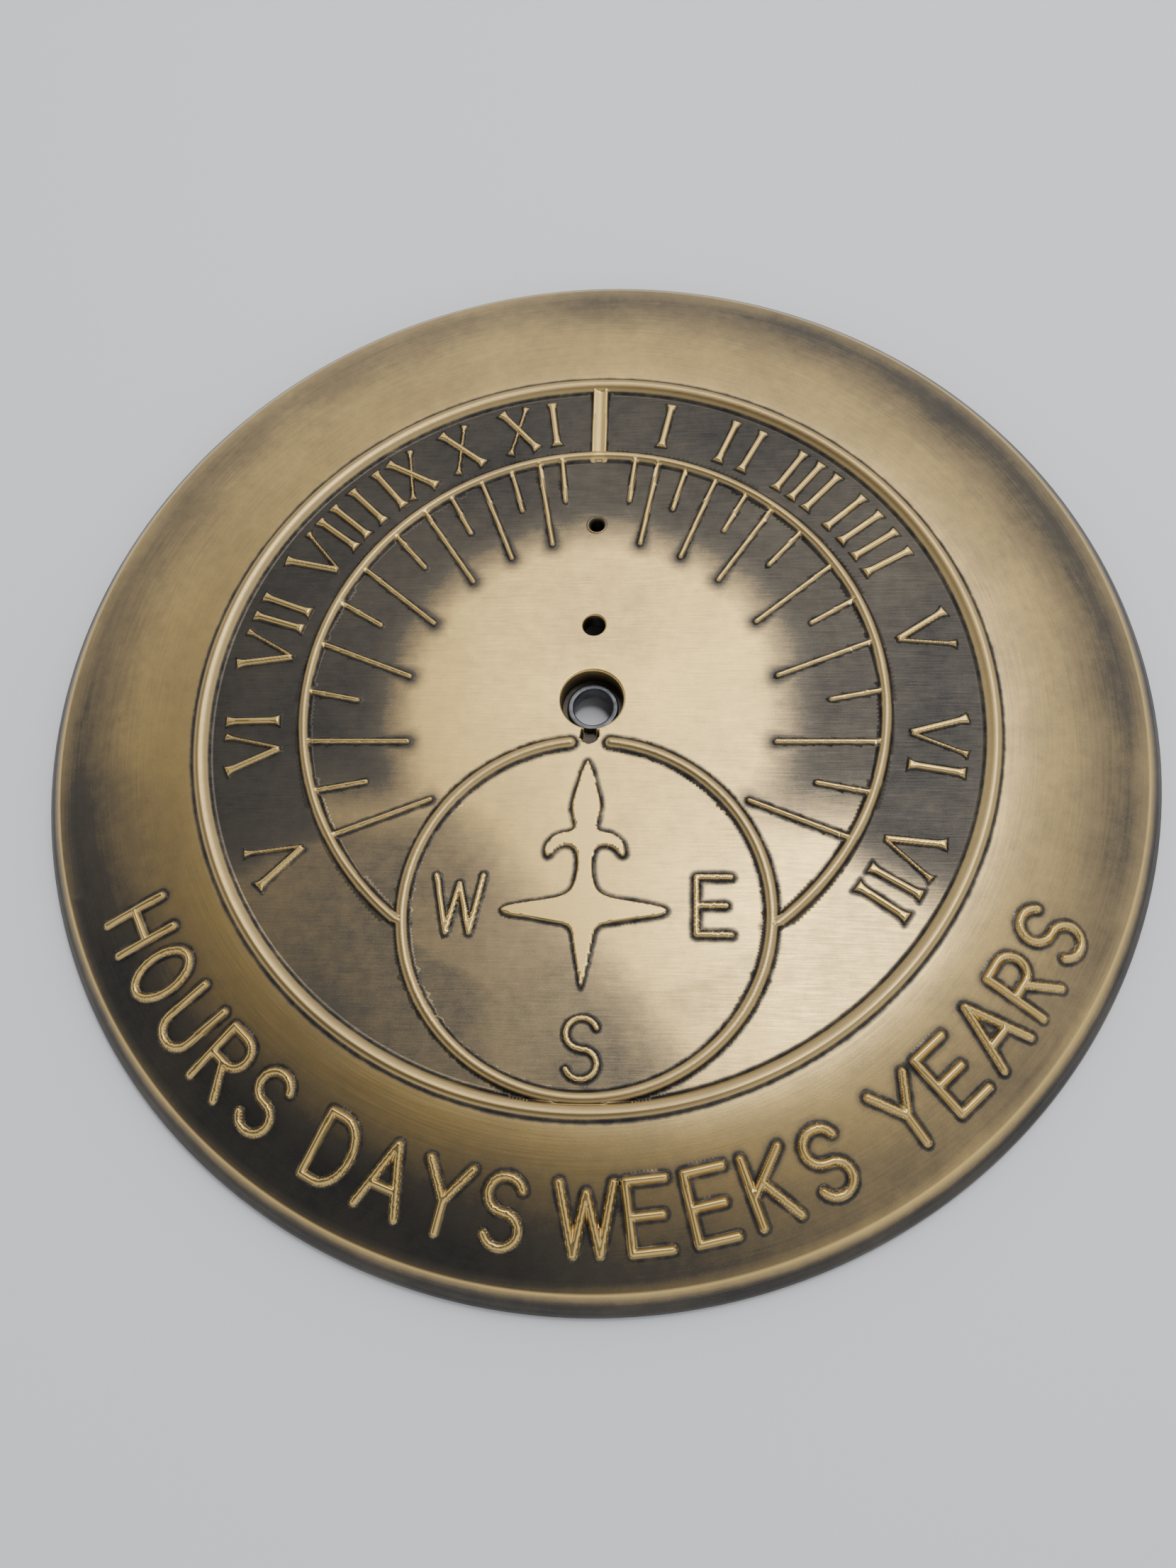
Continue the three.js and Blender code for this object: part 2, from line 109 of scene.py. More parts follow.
def rounded(points):
    """A closed outline with its corners cut off twice."""
    points = np.array(points, float)
    for _ in range(2):
        after = np.roll(points, -1, axis=0)
        points = np.stack([0.75 * points + 0.25 * after, 0.25 * points + 0.75 * after], 1).reshape(-1, 2)
    return points


GLYPHS = {
    "H": (0.56, [[(0, 0), (0, 1)], [(1, 0), (1, 1)], [(0, 0.5), (1, 0.5)]]),
    "O": (0.60, [arc(0.5, 0.5, 0.5, 0.5, 0, 360, 28)]),
    "U": (0.56, [[(0, 1)] + arc(0.5, 0.28, 0.5, 0.28, 180, 360, 12) + [(1, 1)]]),
    "R": (0.56, [[(0, 0), (0, 1)] + arc(0.55, 0.75, 0.42, 0.25, 90, -90, 10) + [(0, 0.5)],
                 [(0.45, 0.5), (1, 0)]]),
    "S": (0.54, [arc(0.5, 0.745, 0.48, 0.255, 20, 270, 14) + arc(0.5, 0.245, 0.48, 0.245, 90, -160, 14)]),
    "D": (0.58, [[(0, 0), (0, 1)] + arc(0.4, 0.5, 0.6, 0.5, 90, -90, 14) + [(0, 0)]]),
    "A": (0.66, [[(0, 0), (0.5, 1), (1, 0)], [(0.2, 0.36), (0.8, 0.36)]]),
    "Y": (0.66, [[(0, 1), (0.5, 0.46), (1, 1)], [(0.5, 0.46), (0.5, 0)]]),
    "W": (0.80, [[(0, 1), (0.25, 0), (0.5, 0.85), (0.75, 0), (1, 1)]]),
    "E": (0.58, [[(1, 1), (0, 1), (0, 0), (1, 0)], [(0, 0.5), (0.85, 0.5)]]),
    "K": (0.58, [[(0, 0), (0, 1)], [(1, 1), (0, 0.42)], [(0.32, 0.61), (1, 0)]]),
}


def letter(name, cap, half, place):
    width, lines = GLYPHS[name]
    sized = [[place((x - 0.5) * width * cap, (y - 0.5) * cap) for x, y in line] for line in lines]
    return [("line", np.array(line), half) for line in sized]


def line_bearing(hour):
    angle = math.radians(15 * hour)
    shift = math.copysign(math.radians(LINE_SHIFT.get(abs(hour), 0)), hour)
    return math.atan2(math.sin(math.radians(LATITUDE)) * math.sin(angle), math.cos(angle)) + shift


def on_hour_line(hour, radius):
    """Where an hour's line crosses a circle about the inner ring's centre."""
    bearing = line_bearing(hour)
    x = math.copysign(STYLE_HALF, hour) if abs(hour) < 6 else 0.0
    dy = LINE_ORIGIN_Y - INNER_RING["y"]
    b = x * math.sin(bearing) + dy * math.cos(bearing)
    length = -b + math.sqrt(b * b - (x * x + dy * dy) + radius * radius)
    return x + length * math.sin(bearing), LINE_ORIGIN_Y + length * math.cos(bearing)


def hour_lines():
    strokes = []
    for half in range(-14, 15):
        whole = half % 2 == 0
        if half == 0:
            continue
        inner = on_hour_line(half / 2, HOUR_LINE_REACH if whole else HALF_LINE_REACH)
        outer = on_hour_line(half / 2, INNER_RING["radius"])
        strokes.append(("line", np.array([inner, outer]), LINE_HALF))
    return strokes


def flared_bar(start, end, wide, foot_wide, head_wide):
    """A numeral's stroke, with serifs that flare out over its last few millimetres."""
    start, end = np.array(start), np.array(end)
    length = np.linalg.norm(end - start)
    along = (end - start) / length
    across = np.array([-along[1], along[0]])
    flare = 3.2
    steps = np.linspace(0, 1, 6)
    side = [(flare * t, wide / 2 + (foot_wide - wide) / 2 * (1 - t) ** 2.2) for t in steps]
    side += [(length - flare * (1 - t), wide / 2 + (head_wide - wide) / 2 * t ** 2.2) for t in steps]
    left = [start + along * s + across * w for s, w in side]
    right = [start + along * s - across * w for s, w in side]
    return ("area", np.array(left + right[::-1]), 0.0)


def numeral_strokes(name):
    h = NUMERAL_HALF_HEIGHT
    thick, thin, serif, thin_serif = 2.3, 1.35, 4.2, 3.2
    if name == "I":
        return [((0, -h), (0, h), thick, serif, serif)]
    if name == "V":
        return [((0, -h), (-V_SPREAD, h), thick, thick, serif),
                ((0, -h), (V_SPREAD, h), thin, thin, thin_serif)]
    return [((X_INNER, -h), (-X_OUTER, h), thick, serif, serif),
            ((-X_INNER, -h), (X_OUTER, h), thin, thin_serif, thin_serif)]


def numerals():
    strokes = []
    for text, *bearings in NUMERALS:
        for name, degrees in zip(text, bearings):
            bearing = math.radians(degrees)
            y, radius = INNER_RING["y"], INNER_RING["radius"]
            inner = y * math.cos(bearing) + math.sqrt(radius ** 2 - (y * math.sin(bearing)) ** 2)
            middle = (inner + OUTER_RING["radius"]) / 2

            def place(point):
                a = bearing + point[0] / middle
                return math.sin(a) * (middle + point[1]), math.cos(a) * (middle + point[1])

            for start, end, *widths in numeral_strokes(name):
                strokes.append(flared_bar(place(start), place(end), *widths))
    return strokes


def motto():
    strokes = []
    for word, middle in MOTTO:
        for i, name in enumerate(word):
            west = math.radians(middle - (i - (len(word) - 1) / 2) * MOTTO_PITCH)
            c, s = math.cos(-west), math.sin(-west)

            def place(x, y):
                y = y - MOTTO_RADIUS
                return c * x - s * y, s * x + c * y

            strokes += letter(name, MOTTO_CAP, MOTTO_HALF, place)
    return strokes


def compass_marks():
    """The spear that points north, with its curled guard, wings and tail, and the letters."""
    half = [(0.0, -12.7), (1.7, -16.8), (3.0, -21.8), (4.2, -26.6), (3.7, -29.7), (2.8, -32.9),
            (4.6, -33.9), (6.6, -34.1), (8.9, -35.3), (10.6, -37.9), (10.8, -40.6), (9.4, -41.4),
            (7.9, -39.4), (6.4, -38.3), (4.6, -38.0), (3.1, -38.7), (2.3, -40.7), (2.1, -43.6),
            (2.6, -47.2), (3.6, -49.9), (6.3, -51.5), (10.8, -52.3), (16.3, -53.2), (20.4, -54.0),
            (21.9, -55.4), (20.0, -56.9), (14.0, -57.7), (8.1, -58.7), (3.4, -59.6), (2.6, -64.1),
            (1.7, -69.2), (0.0, -78.0)]
    axis_x = -0.5
    outline = [(axis_x + x, y) for x, y in half] + [(axis_x - x, y) for x, y in half[-2:0:-1]]
    strokes = [("area", rounded(outline), 0.0)]
    for name, cx, cy in (("E", 32.6, -53.8), ("W", -32.6, -53.8), ("S", 0.0, -90.6)):
        strokes += letter(name, COMPASS_CAP, COMPASS_HALF, lambda x, y: (cx + x, cy + y))
    return strokes


# ---- distances ----
def to_segment(x, y, a, b):
    ax, ay = a
    dx, dy = b[0] - ax, b[1] - ay
    t = np.clip(((x - ax) * dx + (y - ay) * dy) / max(dx * dx + dy * dy, 1e-9), 0, 1)
    return np.hypot(x - ax - t * dx, y - ay - t * dy)


def to_stroke(stroke, x, y):
    """Signed distance to a stroke's outline, negative inside it."""
    kind, points, half = stroke
    ends = np.roll(points, -1, axis=0) if kind == "area" else points[1:]
    nearest = np.full(x.shape, 1e3)
    inside = np.zeros(x.shape, bool)
    for a, b in zip(points, ends):
        nearest = np.minimum(nearest, to_segment(x, y, a, b))
        if kind == "area" and a[1] != b[1]:
            crosses = (a[1] > y) != (b[1] > y)
            inside ^= crosses & (x < (b[0] - a[0]) * (y - a[1]) / (b[1] - a[1]) + a[0])
    return np.where(inside, -nearest, nearest) - half


FOOT = 0.15            # how far a raised stroke's foot spreads past its outline
REACH = 9.0            # distances to strokes are worked out up to this, and stay at this beyond it


def to_strokes(strokes, x, y):
    nearest = np.full(x.shape, REACH)
    for stroke in strokes:
        lo = stroke[1].min(0) - stroke[2] - REACH
        hi = stroke[1].max(0) + stroke[2] + REACH
        near = np.flatnonzero((x > lo[0]) & (x < hi[0]) & (y > lo[1]) & (y < hi[1]))
        if near.size:
            nearest[near] = np.minimum(nearest[near], to_stroke(stroke, x[near], y[near]))
    return nearest


def to_ring(ring, x, y):
    return np.abs(np.hypot(x, y - ring["y"]) - ring["radius"])


def inner_ring_end():
    """How far north the inner ring meets the compass ring."""
    apart = INNER_RING["y"] - COMPASS_RING["y"]
    squares = INNER_RING["radius"] ** 2 - COMPASS_RING["radius"] ** 2
    return INNER_RING["y"] - (squares + apart ** 2) / (2 * apart)


LINES = hour_lines()
NUMERAL_STROKES = numerals()
COMPASS_STROKES = compass_marks()
MOTTO_STROKES = motto()
INNER_END_Y = inner_ring_end()
GAP_TURN = math.asin(COMPASS_GAP / COMPASS_RING["radius"])


def to_inner_ring(x, y):
    apart = to_ring(INNER_RING, x, y)
    below = np.clip(INNER_END_Y + 1.0 - y, 0, None)
    return np.where(below > 0, np.hypot(apart, below * 1.4), apart)


def to_compass_ring(x, y):
    radius = COMPASS_RING["radius"]
    end_x = radius * math.sin(GAP_TURN)
    end_y = COMPASS_RING["y"] + radius * math.cos(GAP_TURN)
    in_gap = (np.abs(x) < end_x) & (y > COMPASS_RING["y"])
    return np.where(in_gap, np.hypot(np.abs(x) - end_x, y - end_y), to_ring(COMPASS_RING, x, y))


# ---- the plate's top and underside as heights ----
def smooth(t):
    t = np.clip(t, 0, 1)
    return t * t * (3 - 2 * t)


def fade(value, start, width):
    """A smooth step from 0 at the start to 1 a width beyond it."""
    return smooth((value - start) / width)


def bead(distance, half):
    """A bead's height, from 1 on its flattened crest to 0 at its foot."""
    return 1 - np.clip(distance / half, 0, 1) ** 2.5


def shoulder(distance, flank):
    """The height of a raised stroke with rounded shoulders, from 1 on top to 0 at its foot."""
    return smooth((FOOT - distance) / flank)


def flange_z(r):
    t = np.clip((r - FLANGE_START[0]) / (FLANGE_EDGE[0] - FLANGE_START[0]), 0, None)
    return FLANGE_START[1] - (FLANGE_START[1] - FLANGE_EDGE[1]) * t ** FLANGE_POWER


def ground(r):
    """The face and the flange without anything raised on them."""
    rise = fade(r, OUTER_RING["radius"] - 1.5, 3.9)
    return np.where(r < FLANGE_START[0], FACE_Z + (FLANGE_START[1] - FACE_Z) * rise, flange_z(r))


def noon_bar(x, y):
    foot = INNER_RING["y"] + INNER_RING["radius"]
    long = (y > foot) & (y < OUTER_RING["radius"])
    hollow = 0.4 * np.clip(1 - (x / 1.7) ** 2, 0, 1)
    return np.where(long, RELIEF * shoulder(np.abs(x) - NOON_BAR_HALF, 0.8) - hollow, 0)


def fields(x, y):
    """Distances to each kind of raised feature, used by the height, the cell sizes and the patina."""
    return {
        "lines": to_strokes(LINES, x, y),
        "numerals": to_strokes(NUMERAL_STROKES, x, y),
        "compass": to_strokes(COMPASS_STROKES, x, y),
        "motto": to_strokes(MOTTO_STROKES, x, y),
        "outer": to_ring(OUTER_RING, x, y) - OUTER_RING["half"],
        "inner": to_inner_ring(x, y) - INNER_RING["half"],
        "ring": to_compass_ring(x, y) - COMPASS_RING["half"],
        "bar": np.where((y > 80) & (y < 105), np.abs(x) - NOON_BAR_HALF, REACH),
    }


def least(distances):
    return np.minimum.reduce(list(distances.values()))


def top_height(x, y):
    r = np.hypot(x, y)
    f = fields(x, y)
    z = ground(r)
    raised = np.maximum(RELIEF * shoulder(np.minimum(f["lines"], f["numerals"]), 0.95),
                        RELIEF * shoulder(f["compass"], 0.85))
    raised = np.maximum(raised, MOTTO_HEIGHT * shoulder(f["motto"], 1.3))
    raised = np.maximum(raised, noon_bar(x, y))
    for name, ring in (("outer", OUTER_RING), ("inner", INNER_RING), ("ring", COMPASS_RING)):
        centre_z = ground(np.array(float(ring["radius"]))) if name == "outer" else FACE_Z
        rise = bead(f[name] + ring["half"], ring["half"] + FOOT)
        raised = np.maximum(raised, (ring["top"] - centre_z) * rise)
    burr = np.abs(np.hypot(x, y - PIN_HOLE["y"]) - PIN_BURR["radius"])
    raised = np.maximum(raised, PIN_BURR["height"] * bead(burr, PIN_BURR["half"]))
    z = z + raised
    for hole in (BORE, SCREW_HOLE, PIN_HOLE):
        into = np.clip(hole["radius"] + hole["lip"] - np.hypot(x, y - hole["y"]), 0, hole["lip"])
        z = z - (hole["lip"] - np.sqrt(np.clip(hole["lip"] ** 2 - into ** 2, 0, None)))
    notch = np.hypot(x - TOE_NOTCH["x"], y - TOE_NOTCH["y"]) - TOE_NOTCH["radius"]
    return z - TOE_NOTCH["depth"] * smooth((0.25 - notch) / 0.6)


def under_height(x, y):
    r = np.hypot(x, y)
    knee_z = float(flange_z(np.array(KNEE_RADIUS))) - WALL_THICK
    z = np.interp(r, [FLANGE_START[0], KNEE_RADIUS, UNDER_EDGE[0]], [BACK_Z, knee_z, UNDER_EDGE[1]])
    for hole, draft in ((BORE, 1.4), (SCREW_HOLE, 0.8), (PIN_HOLE, 0.8)):
        apart = np.hypot(x, y - hole["y"]) - hole["boss"]
        z = z - (BACK_Z - hole["foot"]) * smooth((draft / 2 - apart) / draft)
    return z


# ---- cell sizes ----
GROWTH = 2.1           # cell size per distance from the nearest raised feature
SPLIT_ABOVE = 1.35     # a cell is halved when it is this many times the size wanted
THIN_CELL = 0.50
ROUND_CELL = 0.62
BEAD_CELL = 0.56
OUTER_BEAD_CELL = 0.68
COARSE_CELL = 3.7
UNDER_BOSS_CELL, UNDER_COARSE_CELL, UNDER_HOLE_CELL = 1.8, 6.0, 1.0


def from_band(distance, inside, half):
    """The distance to a band along a stroke's flank, whose middle lies inside the outline."""
    return np.abs(distance + inside) - half


def from_gnomon_holes(x, y, screw_radius, pin_radius):
    """The distance outside a circle round each of the two gnomon holes."""
    return np.minimum(np.hypot(x, y - SCREW_HOLE["y"]) - screw_radius,
                      np.hypot(x, y - PIN_HOLE["y"]) - pin_radius)


def top_cell(x, y):
    """The size of cell wanted at a place on the top: each feature's own size, growing away from it."""
    f = fields(x, y)
    thin = np.minimum.reduce([from_band(f[k], 0.4, 0.5) for k in ("lines", "numerals", "compass", "bar")])
    features = [(thin, THIN_CELL), (from_band(f["motto"], 0.6, 0.8), ROUND_CELL),
                (f["outer"], OUTER_BEAD_CELL), (np.minimum(f["inner"], f["ring"]), BEAD_CELL),
                (from_gnomon_holes(x, y, 6.0, 4.5), THIN_CELL)]
    sizes = [np.maximum(GROWTH * distance, finest) for distance, finest in features]
    return np.minimum(np.minimum.reduce(sizes), COARSE_CELL)


def under_cell(x, y):
    bosses = np.minimum.reduce([from_band(np.hypot(x, y - hole["y"]), -hole["boss"], 0.8)
                                for hole in (BORE, SCREW_HOLE, PIN_HOLE)])
    holes = from_gnomon_holes(x, y, 7.0, 6.0)
    return np.minimum(np.clip(bosses * GROWTH, UNDER_BOSS_CELL, UNDER_COARSE_CELL),
                      np.maximum(holes * GROWTH, UNDER_HOLE_CELL))


# ---- meshes ----
class Mesh:
    """Vertices, triangles and vertex normals that are gathered piece by piece."""

    def __init__(self):
        self.points, self.normals, self.faces, self.count = [], [], [], 0

    def add(self, points, normals):
        first = self.count
        self.points.append(np.asarray(points, float))
        self.normals.append(np.asarray(normals, float))
        self.count += len(points)
        return np.arange(first, self.count)

    def join(self, faces, flip=False):
        faces = np.asarray(faces, int).reshape(-1, 3)
        self.faces.append(faces[:, ::-1] if flip else faces)

    def strip(self, a, b, flip=False):
        """Closed strip between two loops of the same length."""
        a2, b2 = np.roll(a, -1), np.roll(b, -1)
        self.join(np.concatenate([np.stack([a, a2, b2], 1), np.stack([a, b2, b], 1)]), flip)

    def stitch(self, a, angles_a, b, angles_b, flip=False):
        """Closed strip between two loops of different lengths, each sorted by its angles."""
        turn = 2 * math.pi
        start = int(np.argmin(np.abs((angles_b - angles_a[0] + math.pi) % turn - math.pi)))
        b = np.roll(b, -start)
        ta = np.append((angles_a - angles_a[0]) % turn, turn)
        offset = (angles_b[start] - angles_a[0] + math.pi) % turn - math.pi
        tb = np.append((np.roll(angles_b, -start) - angles_b[start]) % turn, turn) + offset
        i = j = 0
        faces = []
        while i < len(a) or j < len(b):
            if j >= len(b) or (i < len(a) and ta[i + 1] <= tb[j + 1]):
                faces.append((a[i % len(a)], a[(i + 1) % len(a)], b[j % len(b)]))
                i += 1
            else:
                faces.append((a[i % len(a)], b[(j + 1) % len(b)], b[j % len(b)]))
                j += 1
        self.join(faces, flip)


def gradient(function, x, y, step):
    dx = (function(x + step, y) - function(x - step, y)) / (2 * step)
    dy = (function(x, y + step) - function(x, y - step)) / (2 * step)
    return dx, dy


def slopes_to_normals(height, x, y, sign):
    dx, dy = gradient(height, x, y, 0.05)
    normals = np.stack([-dx, -dy, np.ones_like(dx)], 1) * sign
    return normals / np.linalg.norm(normals, axis=1)[:, None]


BASE = 96       # coarsest cells round the plate
DEPTH = 4       # how many times a cell may be halved


def grow_cells(wanted, r0, r1):
    """Ring cells between two radii, halved until each is as small as wanted, no more than 2:1 apart."""
    rows = math.ceil(math.log(r1 / r0) * BASE / (2 * math.pi))
    step = math.log(r1 / r0) / rows
    split = []
    for level in range(DEPTH):
        n, m = BASE << level, rows << level
        turn = (np.arange(n) + 0.5) / n * 2 * math.pi
        r = r0 * np.exp((np.arange(m) + 0.5) * step / (1 << level))
        x, y = np.outer(np.sin(turn), r), np.outer(np.cos(turn), r)
        size = np.broadcast_to(r * 2 * math.pi / n, x.shape)
        split.append(size > SPLIT_ABOVE * wanted(x.ravel(), y.ravel()).reshape(x.shape))
    for level in range(DEPTH - 1, 0, -1):
        wide = split[level].copy()
        for dx in (-1, 0, 1):
            shifted = np.roll(split[level], dx, axis=0)
            wide |= shifted
            wide[:, 1:] |= shifted[:, :-1]
            wide[:, :-1] |= shifted[:, 1:]
        n, m = wide.shape
        split[level - 1] |= wide.reshape(n // 2, 2, m // 2, 2).any((1, 3))
    exists = np.ones_like(split[0])
    for level in range(DEPTH):
        split[level] &= exists
        exists = split[level].repeat(2, 0).repeat(2, 1)
    return rows, step, split, exists


SHOULDER = 0.9  # from a stroke's foot to its shoulder
RIDGES = [(LINES, LINE_HALF), (COMPASS_STROKES[1:], COMPASS_HALF), (MOTTO_STROKES, MOTTO_HALF)]


def edge_distance(x, y):
    return least(fields(x, y))


def snap(x, y, triangles, sizes):
    """Moves vertices that are nearly on the foot, the shoulder or the ridge of a raised stroke onto it,
    so that the mesh follows its edges. A move that would turn a triangle over is undone."""
    smallest = np.full(x.shape, np.inf)
    np.minimum.at(smallest, triangles.ravel(), np.repeat(sizes, 3))
    fine_enough, furthest_move, least_area, rounds = 1.6, 0.45, 0.12, 8
    near = np.flatnonzero(smallest < fine_enough)
    px, py, reach = x[near], y[near], furthest_move * smallest[near]
    d = edge_distance(px, py)
    gx, gy = gradient(edge_distance, px, py, 0.02)
    steep = np.hypot(gx, gy) > 0.9
    crest = np.full(px.shape, FOOT - SHOULDER)
    for strokes, half in RIDGES:
        crest = np.where(np.abs(to_strokes(strokes, px, py) - d) < 1e-6, -half, crest)
    new_x, new_y = x.copy(), y.copy()
    for level in (crest, FOOT):
        off = level - d
        chosen = steep & (np.abs(off) < reach)
        new_x[near[chosen]] = (px + off * gx)[chosen]
        new_y[near[chosen]] = (py + off * gy)[chosen]
    before = signed_area(x, y, triangles)
    for _ in range(rounds):
        bad = signed_area(new_x, new_y, triangles) / before < least_area
        if not bad.any():
            break
        undo = triangles[bad].ravel()
        new_x[undo], new_y[undo] = x[undo], y[undo]
    return new_x, new_y


def signed_area(x, y, triangles):
    a, b, c = triangles.T
    return (x[b] - x[a]) * (y[c] - y[a]) - (x[c] - x[a]) * (y[b] - y[a])


def sheet(mesh, height, wanted, r0, r1, holes, sign):
    """Meshes a height between two radii, less square blocks round some holes.
    Returns the loops of vertices on the inner circle, the outer circle and each block."""
    rows, step, split, finest = grow_cells(wanted, r0, r1)
    fine_n, fine_m = BASE << DEPTH, rows << DEPTH
    fine_step = step / (1 << DEPTH)
    blocks = []
    for hole, half in holes:
        bearing = math.atan2(hole["x"], hole["y"]) / (2 * math.pi) * fine_n
        reach = half / hole["y"] / (2 * math.pi) * fine_n
        grid = 1 << (DEPTH - 1)
        i = round(reach / grid) * grid
        j0 = round(math.log((hole["y"] - half) / r0) / fine_step / grid) * grid
        j1 = round(math.log((hole["y"] + half) / r0) / fine_step / grid) * grid
        blocks.append((round(bearing) - i, round(bearing) + i, j0, j1))

    def key(i, j):
        return (i % fine_n) * (fine_m + 1) + j

    triangles, levels = [], []
    for level in range(DEPTH + 1):
        size = 1 << (DEPTH - level)
        made = len(triangles)
        if level < DEPTH:
            present = np.ones_like(split[0]) if level == 0 else split[level - 1].repeat(2, 0).repeat(2, 1)
            leaf = present & ~split[level]
            finer = split[level]
        else:
            leaf = finest
            finer = np.zeros_like(finest)
        ci, cj = np.nonzero(leaf)
        i, j = ci * size, cj * size
        keep = np.ones(len(i), bool)
        for i0, i1, j0, j1 in blocks:
            turn = (i - i0) % fine_n
            keep &= ~((turn < i1 - i0) & (j >= j0) & (j < j1))
        ci, cj, i, j = ci[keep], cj[keep], i[keep], j[keep]
        corners = [key(i, j), key(i, j + size), key(i + size, j + size), key(i + size, j)]
        half = size // 2
        mids = [key(i, j + half), key(i + half, j + size), key(i + size, j + half), key(i + half, j)]
        padded = np.pad(finer, ((0, 0), (1, 1)))
        hanging = [padded[(ci - 1) % finer.shape[0], cj + 1], padded[ci, cj + 2],
                   padded[(ci + 1) % finer.shape[0], cj + 1], padded[ci, cj]]
        plain = ~np.any(hanging, axis=0)
        a, b, c, d = (corner[plain] for corner in corners)
        odd = (ci[plain] + cj[plain]) % 2 == 0
        triangles.append(np.where(odd[:, None], np.stack([a, b, c], 1), np.stack([a, b, d], 1)))
        triangles.append(np.where(odd[:, None], np.stack([a, c, d], 1), np.stack([b, c, d], 1)))
        centre = key(i + half, j + half)
        for side in range(4):
            start, end, mid = corners[side], corners[(side + 1) % 4], mids[side]
            cut = ~plain & hanging[side]
            whole = ~plain & ~hanging[side]
            triangles.append(np.stack([centre[whole], start[whole], end[whole]], 1))
            triangles.append(np.stack([centre[cut], start[cut], mid[cut]], 1))
            triangles.append(np.stack([centre[cut], mid[cut], end[cut]], 1))
        levels += [np.full(len(group), size) for group in triangles[made:]]
    triangles, levels = np.concatenate(triangles), np.concatenate(levels)
    keys, index = np.unique(triangles, return_inverse=True)
    index = index.reshape(-1, 3)
    ki, kj = keys // (fine_m + 1), keys % (fine_m + 1)
    turn = ki / fine_n * 2 * math.pi
    r = r0 * np.exp(kj * fine_step)
    x, y = r * np.sin(turn), r * np.cos(turn)
    if sign > 0:
        x, y = snap(x, y, index, r[index[:, 0]] * 2 * math.pi / fine_n * levels)
    ids = mesh.add(np.stack([x, y, height(x, y)], 1), slopes_to_normals(height, x, y, sign))
    mesh.join(ids[index], flip=sign > 0)

    def loop(chosen, cx, cy):
        angles = np.arctan2(y[chosen] - cy, x[chosen] - cx)
        order = np.argsort(angles)
        return ids[chosen[order]], angles[order]

    loops = [loop(np.flatnonzero(kj == 0), 0, 0), loop(np.flatnonzero(kj == fine_m), 0, 0)]
    for (hole, _), (i0, i1, j0, j1) in zip(holes, blocks):
        across = (ki - i0) % fine_n
        inside = (across <= i1 - i0) & (kj >= j0) & (kj <= j1)
        rim = inside & ((across == 0) | (across == i1 - i0) | (kj == j0) | (kj == j1))
        loops.append(loop(np.flatnonzero(rim), hole["x"], hole["y"]))
    return loops


def collar(mesh, height, loop, hole, radii, sign):
    """Fills from a loop of vertices in to a hole's circle, in rows that end at the given radii."""
    ids, angles = loop
    points = np.concatenate(mesh.points)[ids]
    outward = np.stack([np.cos(angles), np.sin(angles)], 1)
    centre = np.array([hole["x"], hole["y"]])
    start = points[:, :2]
    previous = ids
    for radius, count in radii:
        end = centre + outward * radius
        for k in range(1, count + 1):
            xy = start + (end - start) * k / count
            x, y = xy[:, 0], xy[:, 1]
            row = mesh.add(np.stack([x, y, height(x, y)], 1), slopes_to_normals(height, x, y, sign))
            mesh.strip(previous, row, flip=sign < 0)
            previous = row
        start = end
    return previous, angles


def turned_profile(profile):
    """A profile's points and the normals on its right-hand side, smooth along it."""
    profile = np.array(profile, float)
    along = np.gradient(profile, axis=0)
    normals = np.stack([along[:, 1], -along[:, 0]], 1)
    return profile, normals / np.linalg.norm(normals, axis=1)[:, None]


def soften(profile, size, steps=2):
    """A profile with each inner corner replaced by a small round."""
    out = [profile[0]]
    for before, corner, after in zip(profile, profile[1:], profile[2:]):
        before, corner, after = (np.array(p, float) for p in (before, corner, after))
        into, away = before - corner, after - corner
        reach_in = min(size, np.linalg.norm(into) * 0.45)
        reach_out = min(size, np.linalg.norm(away) * 0.45)
        a = corner + into / np.linalg.norm(into) * reach_in
        b = corner + away / np.linalg.norm(away) * reach_out
        for t in np.linspace(0, 1, steps + 1):
            out.append(tuple((1 - t) ** 2 * a + 2 * t * (1 - t) * corner + t ** 2 * b))
    out.append(profile[-1])
    return out


def turned_row(mesh, centre, angles, place, normal):
    """A circle of vertices at one (radius, z) of a profile, with that point's normal turned with it."""
    (radius, z), (across, upward) = place, normal
    c, s = np.cos(angles), np.sin(angles)
    return mesh.add(np.stack([centre["x"] + radius * c, centre["y"] + radius * s, np.full_like(c, z)], 1),
                    np.stack([across * c, across * s, np.full_like(c, upward)], 1))


def wall(mesh, loop, hole, profile, end, outside=False):
    """Turns a profile of (radius, z) about a hole's axis, from one loop to another."""
    previous, angles = loop
    for place, normal in zip(*turned_profile(profile)):
        row = turned_row(mesh, hole, angles, place, -normal if outside else normal)
        mesh.strip(previous, row, flip=outside)
        previous = row
    mesh.stitch(previous, angles, end[0], end[1], flip=outside)


